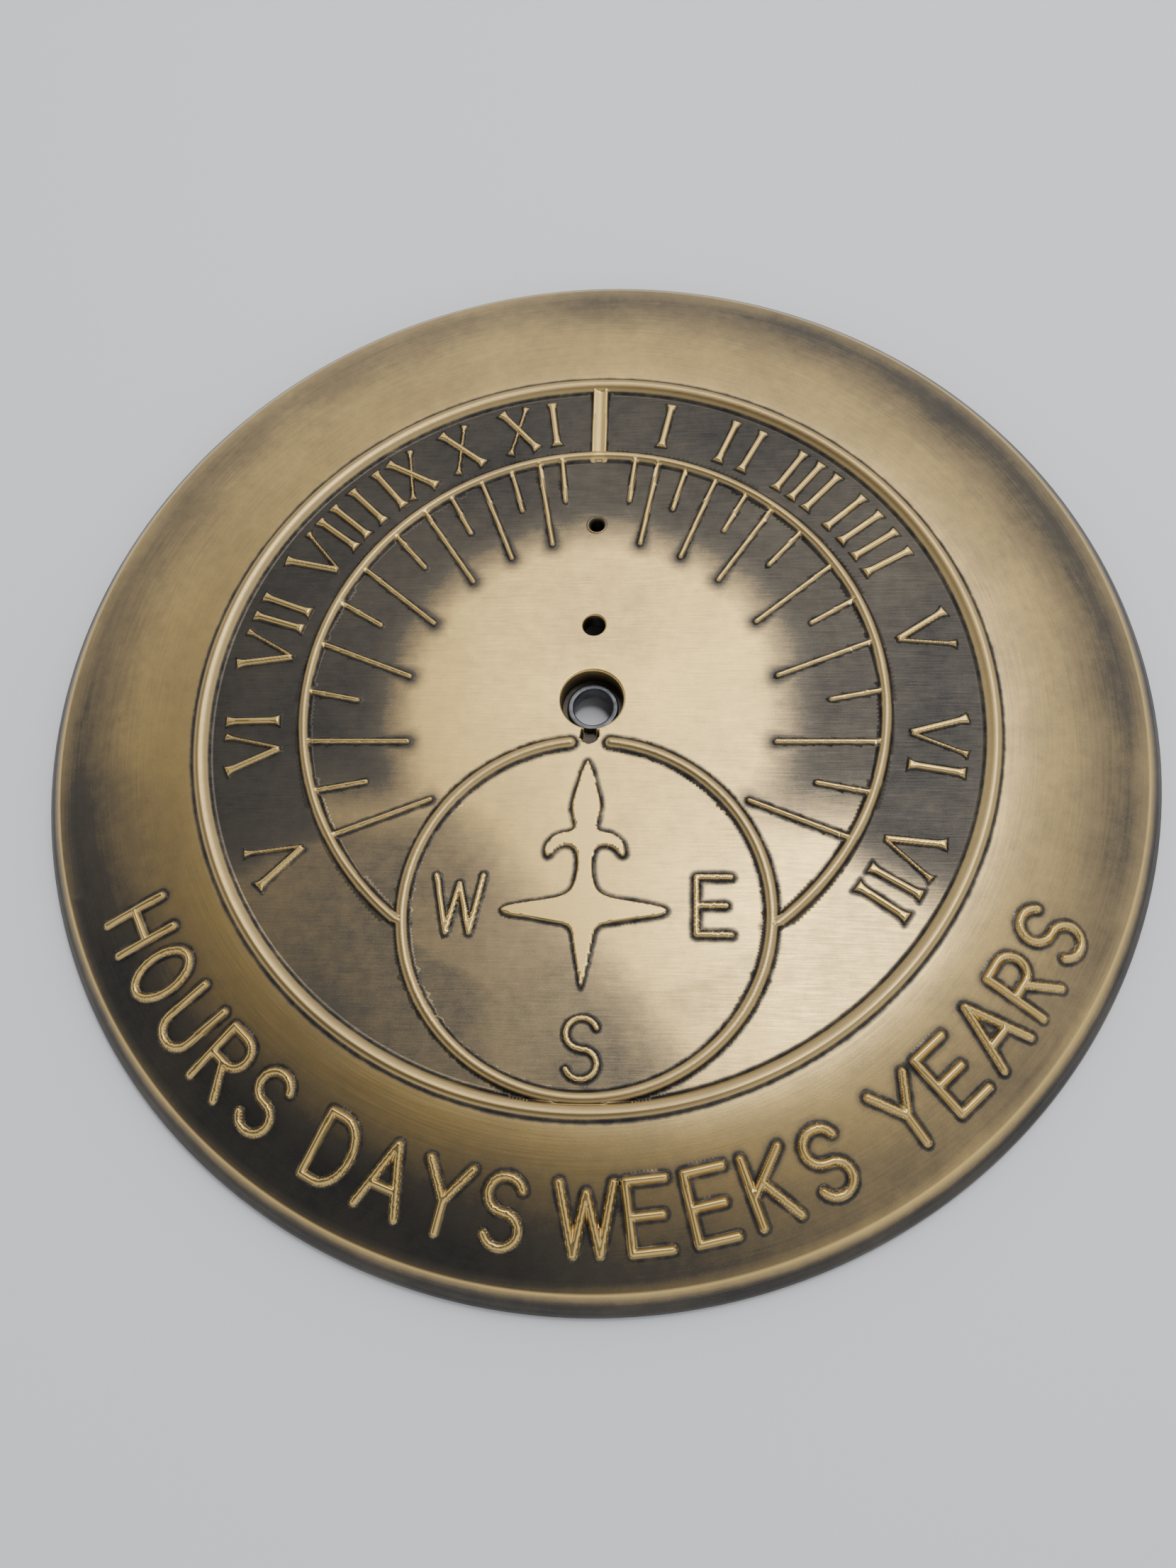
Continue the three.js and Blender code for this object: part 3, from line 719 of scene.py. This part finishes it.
def plate_mesh():
    mesh = Mesh()
    centre = {"x": 0.0, "y": 0.0}
    near, top_far, under_far = 14.2, 147.0, 146.0
    bore_r, screw_r, pin_r = BORE["radius"], SCREW_HOLE["radius"], PIN_HOLE["radius"]
    blocks = [(SCREW_HOLE, 5.2), (PIN_HOLE, 3.9)]
    top = sheet(mesh, top_height, top_cell, near, top_far, blocks, 1)
    bore_top = collar(mesh, top_height, top[0], BORE, [(bore_r + 0.8, 22), (bore_r, 5)], 1)
    screw_top = collar(mesh, top_height, top[2], SCREW_HOLE, [(screw_r + 0.55, 4), (screw_r, 4)], 1)
    pin_top = collar(mesh, top_height, top[3], PIN_HOLE, [(pin_r + 1.15, 2), (pin_r, 8)], 1)
    under = sheet(mesh, under_height, under_cell, near, under_far, blocks, -1)
    bore_under = collar(mesh, under_height, under[0], BORE, [(BORE["through"], 6)], -1)
    screw_under = collar(mesh, under_height, under[2], SCREW_HOLE, [(screw_r, 2)], -1)
    pin_under = collar(mesh, under_height, under[3], PIN_HOLE, [(pin_r, 2)], -1)

    under_z = float(under_height(np.array(under_far), np.array(0.0)))
    rim = soften([(top_far, float(flange_z(np.array(top_far))))] + RIM + [(under_far, under_z)], 0.5)
    wall(mesh, top[1], centre, rim[1:-1], under[1], outside=True)
    bore = soften([(bore_r, FACE_Z - 0.8), (bore_r, BORE["ledge"]), (BORE["through"], BORE["ledge"]),
                   (BORE["through"], BORE["foot"] + 0.1)], 0.25)
    wall(mesh, bore_top, BORE, bore, bore_under)
    for loop, hole, end in ((screw_top, SCREW_HOLE, screw_under), (pin_top, PIN_HOLE, pin_under)):
        z0, z1 = FACE_Z - hole["lip"] - 0.15, hole["foot"] + 0.15
        wall(mesh, loop, hole, [(hole["radius"], z) for z in np.linspace(z0, z1, 4)], end)
    return mesh


def link(name, data):
    thing = bpy.data.objects.new(name, data)
    bpy.context.scene.collection.objects.link(thing)
    return thing


def to_object(name, mesh, attributes=None):
    points = np.concatenate(mesh.points) * MM
    normals = np.concatenate(mesh.normals)
    faces = np.concatenate(mesh.faces)
    data = bpy.data.meshes.new(name)
    data.vertices.add(len(points))
    data.vertices.foreach_set("co", points.astype(np.float32).ravel())
    data.loops.add(faces.size)
    data.loops.foreach_set("vertex_index", faces.astype(np.int32).ravel())
    data.polygons.add(len(faces))
    data.polygons.foreach_set("loop_start", np.arange(0, faces.size, 3, dtype=np.int32))
    data.update(calc_edges=True)
    data.validate()
    data.shade_smooth()
    data.normals_split_custom_set_from_vertices(normals.astype(np.float32))
    for key, values in (attributes or {}).items():
        layer = data.attributes.new(key, "FLOAT", "POINT")
        layer.data.foreach_set("value", values.astype(np.float32))
    return link(name, data)


# ---- finish ----
# The depth of the patina, from 0 for bright brass to 1 for black; the second value is painted shade,
# not patina, for the bore, the holes, faces turned down and the rim's steep side.
CLEAN_FACE, PAINTED_SHADE, RING_TOP, STROKE_TOP = 0.16, 0.85, 0.30, 0.13


def plate_finish(points, normals):
    """Values at each vertex: the patina of the ground there, with painted shade in the bore and holes,
    on faces turned down and down the rim's steep side; the distance to the nearest raised outline (less
    than 0 on the raised side); a painted highlight along the crease at the rim; and the patina on top of
    what is raised nearby."""
    x, y, z = points.T
    r = np.hypot(x, y)
    inner_r = np.hypot(x, y - INNER_RING["y"])
    compass_r = np.hypot(x, y - COMPASS_RING["y"])
    south = np.degrees(np.arctan2(np.abs(x), -y))
    f = fields(x, y)

    bearing = np.arctan2(x, y)
    bearing_degrees = np.degrees(bearing)
    off_southwest = (bearing_degrees + 330) % 360 - 180
    upper = fade(south, 50, 18)
    west = fade(-x, -12, 44)
    spokes = fade(y, -46, 34) * (inner_r < 79)
    numeral_band = fade(inner_r, 78, 3) * fade(-r, -105, 2)
    numeral_band *= np.maximum(np.maximum(0.86 * upper, 0.64 * west), 0.22)
    hour_band = 0.82 * fade(inner_r, 40, 24) * spokes
    near_lines = 0.86 * np.exp(-np.clip(f["lines"], 0, None) / 3.2) * fade(inner_r, 38, 12) * spokes
    lower = 0.62 * fade(-y, 14, 26) * (r < 106) * fade(compass_r, 40, 9) * west
    in_compass = 0.54 * fade(-y - 1.1 * x, 40, 42) * (compass_r < 46)
    # Darker towards the flange's outer edge, most to the north-east and south-west.
    darker_outwards = (0.34 + 0.13 * np.cos(2 * (bearing - math.radians(50)))) * fade(r, 122, 24)
    # Darker towards the south-west of the flange.
    darker_southwest = 0.44 * np.exp(-(off_southwest / 38) ** 2) * fade(r, 112, 20)
    duller_east = 0.10 * np.exp(-((bearing_degrees - 82) / 48) ** 2)
    flange = np.minimum(0.25 + duller_east + darker_outwards + darker_southwest, 0.9) * (r > 105)
    halo = 0.66 * np.exp(-np.clip(f["motto"], 0, None) / 2.2)
    zone = np.maximum.reduce([numeral_band, hour_band, near_lines, lower, in_compass, flange, halo,
                              np.full_like(r, CLEAN_FACE)])
    # Painted shade: the bore, the holes and the toe notch below the face, faces turned down, and the rim's
    # steep outer side are painted dark.
    painted_shade_places = (normals[:, 2] < -0.2) | ((z < FACE_Z - 1.2) & (r < 80)) | (r > FLANGE_EDGE[0] + 0.6)
    zone = np.where(painted_shade_places, PAINTED_SHADE, zone)
    # Painted highlight: a bright line along the crease where the flange turns down to the rim.
    crease_highlight = smooth(1 - np.abs(r - FLANGE_EDGE[0]) / 1.1) * (z > 5)
    edge = np.where(painted_shade_places | (r > 144), REACH, least(f))
    on_ring = np.minimum.reduce([f["outer"], f["inner"], f["ring"]]) < edge + 0.01
    top = np.where(on_ring, RING_TOP, STROKE_TOP)
    return {"patina_and_shade": zone, "edge": edge, "crease_highlight": crease_highlight, "top": top}


def new_material(name):
    material = bpy.data.materials.new(name)
    material.use_nodes = True
    tree = material.node_tree
    return material, tree, tree.nodes["Principled BSDF"]


class Nodes:
    """Short ways to make shader nodes and link them."""

    def __init__(self, tree):
        self.tree = tree

    def put(self, kind, inputs=(), **settings):
        node = self.tree.nodes.new(kind)
        for key, value in settings.items():
            setattr(node, key, value)
        for key, value in dict(inputs).items():
            if isinstance(value, bpy.types.NodeSocket):
                self.tree.links.new(value, node.inputs[key])
            else:
                node.inputs[key].default_value = value
        return node

    def math(self, operation, a, b=0.0, c=0.0, clamp=False):
        node = self.put("ShaderNodeMath", {0: a, 1: b, 2: c}, operation=operation, use_clamp=clamp)
        return node.outputs[0]

    def noise(self, vector, scale, detail=4.0, roughness=0.55):
        node = self.put("ShaderNodeTexNoise", {"Vector": vector, "Scale": scale, "Detail": detail,
                                               "Roughness": roughness})
        return node.outputs["Fac"]

    def mapped(self, vector, scale, turn=0.0):
        node = self.put("ShaderNodeMapping", {"Vector": vector, "Scale": scale,
                                              "Rotation": (0.0, 0.0, math.radians(turn))})
        return node.outputs["Vector"]

    def ramp(self, value, stops):
        node = self.put("ShaderNodeValToRGB", {"Fac": value})
        elements = node.color_ramp.elements
        while len(elements) < len(stops):
            elements.new(0.5)
        for element, (place, colour) in zip(elements, stops):
            element.position = place
            element.color = (*colour, 1.0)
        return node.outputs["Color"]

    def attribute(self, name):
        return self.put("ShaderNodeAttribute", attribute_name=name).outputs["Fac"]

    def millimetres(self):
        return self.mapped(self.put("ShaderNodeTexCoord").outputs["Object"], (1 / MM,) * 3)

    def bump(self, height, strength, depth):
        settings = {"Height": height, "Strength": strength, "Distance": depth * MM}
        return self.put("ShaderNodeBump", settings).outputs["Normal"]


def antique_brass():
    material, tree, shader = new_material("antique_brass")
    n = Nodes(tree)
    millimetres = n.millimetres()
    parts = n.put("ShaderNodeSeparateXYZ", {0: millimetres}).outputs
    radius = n.math("SQRT", n.math("ADD", n.math("MULTIPLY", parts[0], parts[0]),
                                   n.math("MULTIPLY", parts[1], parts[1])))
    turn = n.math("ARCTAN2", parts[1], parts[0])
    wheel = n.put("ShaderNodeCombineXYZ", {0: n.math("MULTIPLY", radius, 1.5),
                                           1: n.math("MULTIPLY", turn, 5.0), 2: 0.0}).outputs[0]
    streaks = n.noise(wheel, 1.0, 5.0, 0.6)
    brushed = n.noise(n.mapped(millimetres, (0.10, 2.4, 1.0), 28.0), 1.0, 4.0, 0.6)
    blotches = n.noise(millimetres, 0.035, 3.0, 0.5)
    mottle = n.noise(millimetres, 0.30, 5.0, 0.6)
    grain = n.noise(millimetres, 3.2, 3.0, 0.6)

    on_flange = n.math("GREATER_THAN", radius, OUTER_RING["radius"])
    marks = n.put("ShaderNodeMix", {"Factor": on_flange, "A": brushed, "B": streaks}).outputs["Result"]
    edge = n.attribute("edge")
    raised = n.put("ShaderNodeMapRange", {0: edge, 1: 0.0, 2: -0.55, 3: 0.0, 4: 1.0},
                   interpolation_type="SMOOTHSTEP").outputs[0]
    # The crease's painted highlight is kept clear of patina, as the top of a raised stroke is.
    raised = n.math("MAXIMUM", raised, n.attribute("crease_highlight"))
    off = n.math("DIVIDE", n.math("MAXIMUM", edge, 0.0), 1.05)
    outline = n.math("EXPONENT", n.math("MULTIPLY", n.math("MULTIPLY", off, off), -1.0))
    outline = n.math("MULTIPLY", outline, n.math("MULTIPLY_ADD", mottle, 0.9, 0.42))
    # Patina with painted shade from the vertex values, deepened by the dark outline round each raised
    # feature.
    patina_and_shade = n.math("MAXIMUM", n.attribute("patina_and_shade"), outline)
    patina_and_shade = n.math("MULTIPLY", patina_and_shade, n.math("SUBTRACT", 1.0, raised))
    patina_and_shade = n.math("MULTIPLY_ADD", raised, n.attribute("top"), patina_and_shade)
    spread = 0.0
    for pattern, weight in ((blotches, 0.34), (mottle, 0.20), (marks, 0.22), (grain, 0.22)):
        spread = n.math("MULTIPLY_ADD", n.math("SUBTRACT", pattern, 0.5), weight, spread)
    calm = n.math("MULTIPLY_ADD", raised, -0.6, 1.0)
    depth = n.math("MULTIPLY_ADD", spread, calm, patina_and_shade, clamp=True)
    colour = n.ramp(depth, [(0.0, (0.72, 0.512, 0.180)), (0.20, (0.51, 0.365, 0.150)),
                            (0.42, (0.27, 0.202, 0.107)), (0.68, (0.090, 0.078, 0.060)),
                            (1.0, (0.028, 0.027, 0.027))])
    tree.links.new(colour, shader.inputs["Base Color"])
    tree.links.new(n.math("MULTIPLY_ADD", depth, -0.22, 1.0), shader.inputs["Metallic"])
    rough = n.math("MULTIPLY_ADD", depth, 0.20, 0.30)
    rough = n.math("MULTIPLY_ADD", n.math("SUBTRACT", marks, 0.5), 0.16, rough, clamp=True)
    tree.links.new(rough, shader.inputs["Roughness"])
    relief = n.math("MULTIPLY_ADD", marks, 0.6, n.math("MULTIPLY", grain, 0.5))
    tree.links.new(n.bump(relief, 0.35, 0.06), shader.inputs["Normal"])
    return material


def turned_metal(name, colour, dull, roughness):
    """Lathe-turned metal: fine rings of brightness, dulled in patches."""
    material, tree, shader = new_material(name)
    n = Nodes(tree)
    millimetres = n.millimetres()
    rings = n.noise(n.mapped(millimetres, (0.4, 0.4, 6.0)), 1.0, 4.0)
    patches = n.noise(millimetres, 0.5, 4.0)
    shade = n.math("MULTIPLY_ADD", rings, 0.5, n.math("MULTIPLY", patches, 0.5))
    tree.links.new(n.ramp(shade, [(0.30, dull), (0.62, colour)]), shader.inputs["Base Color"])
    tree.links.new(n.math("MULTIPLY_ADD", shade, -0.25, roughness + 0.12), shader.inputs["Roughness"])
    shader.inputs["Metallic"].default_value = 1.0
    tree.links.new(n.bump(rings, 0.2, 0.03), shader.inputs["Normal"])
    return material


def dress(thing, material):
    thing.data.materials.clear()
    thing.data.materials.append(material)


# ---- pieces ----
def make_plate():
    mesh = plate_mesh()
    finish = plate_finish(np.concatenate(mesh.points), np.concatenate(mesh.normals))
    plate = to_object("cast_dial_plate", mesh, finish)
    dress(plate, antique_brass())
    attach(plate, "dial")
    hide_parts("dial_plate")


def lathe_mesh(profile, steps, centre):
    """A closed ring turned from a closed profile of (radius, z), listed clockwise."""
    mesh = Mesh()
    profile = np.array(profile, float)
    along = np.roll(profile, -1, axis=0) - np.roll(profile, 1, axis=0)
    normals = np.stack([-along[:, 1], along[:, 0]], 1)
    normals /= np.linalg.norm(normals, axis=1)[:, None]
    turns = np.arange(steps) / steps * 2 * math.pi
    rows = [turned_row(mesh, centre, turns, place, normal) for place, normal in zip(profile, normals)]
    for a, b in zip(rows, rows[1:] + rows[:1]):
        mesh.strip(a, b, flip=True)
    return mesh


def make_bush():
    outer, inner, collar_r = 6.45, 5.3, bush_hi.x
    seat = BORE["ledge"] + GAP
    foot, top = bush_lo.z, bush_hi.z
    corners = [(inner, foot), (inner, top), (collar_r, top), (collar_r, seat), (outer, seat), (outer, foot)]
    profile = soften(corners[-1:] + corners + corners[:1], 0.55, 5)[1:-1]
    bush = to_object("bore_lining", lathe_mesh(profile, 96, BORE))
    dress(bush, turned_metal("bush_metal", (0.12, 0.125, 0.14), (0.045, 0.048, 0.055), 0.40))
    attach(bush, "dial")
    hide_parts("bore_bush")


KIT_PLACE = Matrix(((0, -1, 0, 92.0), (1, 0, 0, -36.0), (0, 0, 1, 4.5), (0, 0, 0, 1)))
FOOT_LONG, FOOT_WIDE, FOOT_THICK, TOE_OVERHANG = 70.0, 9.0, 3.2, 3.0
SCREW = {"radius": 2.5, "length": 12.0, "head": 4.25, "tall": 3.3, "slot": (1.2, 1.5)}
SMALL_SCREW = {"radius": 1.5, "length": 10.0, "head": 2.75, "tall": 2.0, "slot": (0.8, 0.9)}
WASHER = {"outer": 4.5, "inner": 2.8, "thick": 1.0}
SMALL_WASHER = {"outer": 3.0, "inner": 1.8, "thick": 0.5}
TOE_PEG = [(1.6, -2.9), (1.8, 0.5)]     # (radius, y)
TAPPED_SPARE = 1.0


def solid(points, faces, name="solid"):
    data = bpy.data.meshes.new(name)
    data.from_pydata(points, [], faces)
    data.update()
    return link(name, data)


def prism(outline, z0, z1):
    """A prism over an anticlockwise outline."""
    n = len(outline)
    points = [(x, y, z0) for x, y in outline] + [(x, y, z1) for x, y in outline]
    sides = [(i, (i + 1) % n, n + (i + 1) % n, n + i) for i in range(n)]
    return solid(points, [tuple(range(n))[::-1], tuple(range(n, 2 * n))] + sides)


def box(x0, x1, y0, y1, z0, z1):
    return prism([(x0, y0), (x1, y0), (x1, y1), (x0, y1)], z0, z1)


def spindle(profile, x, steps=72):
    """Turns a profile of (radius, y), listed up the axis, about the line through x along y."""
    points, faces = [], []
    for radius, y in profile:
        for a in np.arange(steps) / steps * 2 * math.pi:
            points.append((x + radius * math.cos(a), y, -radius * math.sin(a)))
    for row in range(len(profile) - 1):
        for i in range(steps):
            j = (i + 1) % steps
            faces.append((row * steps + i, row * steps + j, (row + 1) * steps + j, (row + 1) * steps + i))
    last = (len(profile) - 1) * steps
    return solid(points, faces + [tuple(range(steps))[::-1], tuple(range(last, last + steps))])


def cut(body, tool, operation):
    """Joins a tool to a body or cuts it out of the body, and discards the tool."""
    modifier = body.modifiers.new("cut", "BOOLEAN")
    modifier.operation, modifier.object, modifier.solver = operation, tool, "EXACT"
    settle(body)
    bpy.data.objects.remove(tool)


def settle(body):
    """Replaces a body's mesh with the one that its modifiers make."""
    bpy.context.view_layer.update()
    evaluated = body.evaluated_get(bpy.context.evaluated_depsgraph_get())
    data = bpy.data.meshes.new_from_object(evaluated)
    body.modifiers.clear()
    body.data = data


def finish_piece(body, name, replaced, material, round_edge):
    bevel = body.modifiers.new("edges", "BEVEL")
    bevel.width, bevel.segments, bevel.limit_method = round_edge, 3, "ANGLE"
    bevel.angle_limit, bevel.harden_normals = math.radians(35), True
    for polygon in body.data.polygons:
        polygon.use_smooth = True
    settle(body)
    body.data.transform(Matrix.Scale(MM, 4) @ KIT_PLACE)
    body.name = body.data.name = name
    dress(body, material)
    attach(body, "gnomon_kit")
    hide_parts(replaced)


def make_gnomon(material):
    slope = math.tan(math.radians(LATITUDE))
    style_start = LINE_ORIGIN_Y - TOE_NOTCH["y"]
    tip_x = FOOT_LONG - 1.5
    tip_y = (tip_x - style_start) * slope
    back = arc(FOOT_LONG + 16, tip_y / 2, 20, tip_y / 2 - FOOT_THICK, -110, -250, 32)
    low = FOOT_THICK - 1
    fin = [(style_start + low / slope, low), (FOOT_LONG, low), (FOOT_LONG, low + 2)] + back
    fin += [(tip_x + 1, tip_y - 2), (tip_x, tip_y)]
    body = prism(fin, -STYLE_HALF, STYLE_HALF)
    cut(body, box(-TOE_OVERHANG, FOOT_LONG, 0, FOOT_THICK, -FOOT_WIDE / 2, FOOT_WIDE / 2), "UNION")
    cut(body, spindle(TOE_PEG, 0.0), "UNION")
    for hole, screw in ((SCREW_HOLE, SCREW), (PIN_HOLE, SMALL_SCREW)):
        x = hole["y"] - TOE_NOTCH["y"]
        post, tapped = FOOT_WIDE / 2 - 0.2, screw["radius"] + GAP
        cut(body, spindle([(post, 1), (post, screw["length"] + 2 * TAPPED_SPARE)], x), "UNION")
        cut(body, spindle([(tapped, -1), (tapped, screw["length"])], x), "DIFFERENCE")
    finish_piece(body, "sand_cast_gnomon", "gnomon", material, 0.35)


def make_screw(name, replaced, x, screw, washer_thick, material):
    radius, head, tall = screw["radius"], screw["head"], screw["tall"]
    base = -washer_thick - 2 * GAP - tall
    end = tall + screw["length"]
    half_pitch, groove, chamfer = 0.4, 0.22, 0.6
    rows = int((screw["length"] - 1.4) / half_pitch)
    thread = [(radius - groove * (k % 2), tall + chamfer + half_pitch * k) for k in range(rows)]
    profile = [(head - 0.4, 0), (head, 0.4), (head, tall), (radius, tall)] + thread
    profile += [(radius, end - chamfer), (radius - chamfer, end)]
    body = spindle([(r, base + y) for r, y in profile], x)
    wide, deep = screw["slot"]
    cut(body, box(x - wide / 2, x + wide / 2, base - 1, base + deep, -2 * head, 2 * head), "DIFFERENCE")
    finish_piece(body, name, replaced, material, 0.12)


def make_washer(name, replaced, x, washer, material):
    y1 = -GAP
    y0 = y1 - washer["thick"]
    body = spindle([(washer["outer"], y0), (washer["outer"], y1)], x)
    cut(body, spindle([(washer["inner"], y0 - 1), (washer["inner"], y1 + 1)], x), "DIFFERENCE")
    finish_piece(body, name, replaced, material, 0.15)


def make_kit():
    brass = turned_metal("plain_brass", (0.62, 0.45, 0.19), (0.30, 0.22, 0.11), 0.32)
    steel = turned_metal("screw_steel", (0.56, 0.56, 0.57), (0.30, 0.30, 0.31), 0.26)
    make_gnomon(brass)
    for hole, screw, washer, kind in ((SCREW_HOLE, SCREW, WASHER, ""),
                                      (PIN_HOLE, SMALL_SCREW, SMALL_WASHER, "small_")):
        x = hole["y"] - TOE_NOTCH["y"]
        node = f"gnomon_{kind}screw"
        make_screw(f"slotted_{kind}screw", node, x, screw, washer["thick"], steel)
        make_washer(f"flat_{kind}washer", f"{node}_washer", x, washer, steel)


# ---- camera, floor and lights ----
VIEW_ELEVATION = 67.64   # degrees above the horizon
VIEW_TURN = -10.49       # degrees round +Z
VIEW_ROLL = 9.57         # degrees about the line of sight
VIEW_DISTANCE = 386.3
VIEW_AIM = (-4.05, -19.39)   # across and up from the plate's centre, at the height of its crest
LENS = 33.15


def make_camera():
    camera = link("camera", bpy.data.cameras.new("camera"))
    e, roll = math.radians(VIEW_ELEVATION), math.radians(VIEW_ROLL)
    right, up = Vector((1, 0, 0)), Vector((0, math.sin(e), math.cos(e)))
    ahead = Vector((0, math.cos(e), -math.sin(e)))
    turn = Matrix.Rotation(-math.radians(VIEW_TURN), 3, "Z")
    place = turn @ (right * VIEW_AIM[0] + up * VIEW_AIM[1] - ahead * VIEW_DISTANCE)
    across = turn @ (right * math.cos(roll) - up * math.sin(roll))
    upward = turn @ (right * math.sin(roll) + up * math.cos(roll))
    matrix = Matrix((across, upward, turn @ -ahead)).transposed().to_4x4()
    matrix.translation = (place + Vector((0, 0, CREST_Z))) * MM
    camera.matrix_world = matrix
    camera.data.lens = LENS
    camera.data.clip_start = 0.01
    bpy.context.scene.camera = camera


def make_floor():
    side = 6.0      # metres from the centre to each edge
    corners = [(-side, -side, 0), (side, -side, 0), (side, side, 0), (-side, side, 0)]
    floor = solid(corners, [(0, 1, 2, 3)], "floor")
    material, _, shader = new_material("pale_table")
    shader.inputs["Base Color"].default_value = (0.80, 0.81, 0.84, 1)
    shader.inputs["Roughness"].default_value = 0.55
    dress(floor, material)


def soft_light(name, place, aim, size, power, colour=(1, 1, 1)):
    data = bpy.data.lights.new(name, "AREA")
    data.shape = "RECTANGLE"
    data.size, data.size_y = size
    data.energy = power
    data.color = colour
    lamp = link(name, data)
    lamp.location = place
    lamp.rotation_mode = "QUATERNION"
    lamp.rotation_quaternion = (Vector(aim) - Vector(place)).to_track_quat("-Z", "Y")


DARK_SIDE = (-0.30, -0.12, 0.946)   # the unlit part of the room, over the camera's shoulder


def make_lights():
    world = bpy.data.worlds.new("studio")
    world.use_nodes = True
    bpy.context.scene.world = world
    n = Nodes(world.node_tree)
    direction = n.put("ShaderNodeTexCoord").outputs["Generated"]
    toward = n.put("ShaderNodeVectorMath", {0: direction, 1: DARK_SIDE}, operation="DOT_PRODUCT")
    sky = n.ramp(toward.outputs["Value"],
                 [(0.40, (1.16, 1.18, 1.22)), (0.70, (0.80, 0.80, 0.82)), (0.85, (0.50, 0.50, 0.50)),
                  (0.89, (0.20, 0.20, 0.20)), (0.925, (0.07, 0.07, 0.075)), (1.0, (0.03, 0.03, 0.035))])
    background = world.node_tree.nodes["Background"]
    world.node_tree.links.new(sky, background.inputs["Color"])
    background.inputs["Strength"].default_value = 1.0
    soft_light("north_softbox", (0.14, 0.50, 1.00), (0.0, 0.02, 0.0), (0.75, 0.45), 3.6, (1.0, 0.97, 0.92))
    soft_light("east_softbox", (0.15, 0.17, 0.95), (0.05, -0.05, 0.0), (0.17, 0.17), 2.2)


make_camera()
make_floor()
make_lights()
make_plate()
make_bush()
make_kit()
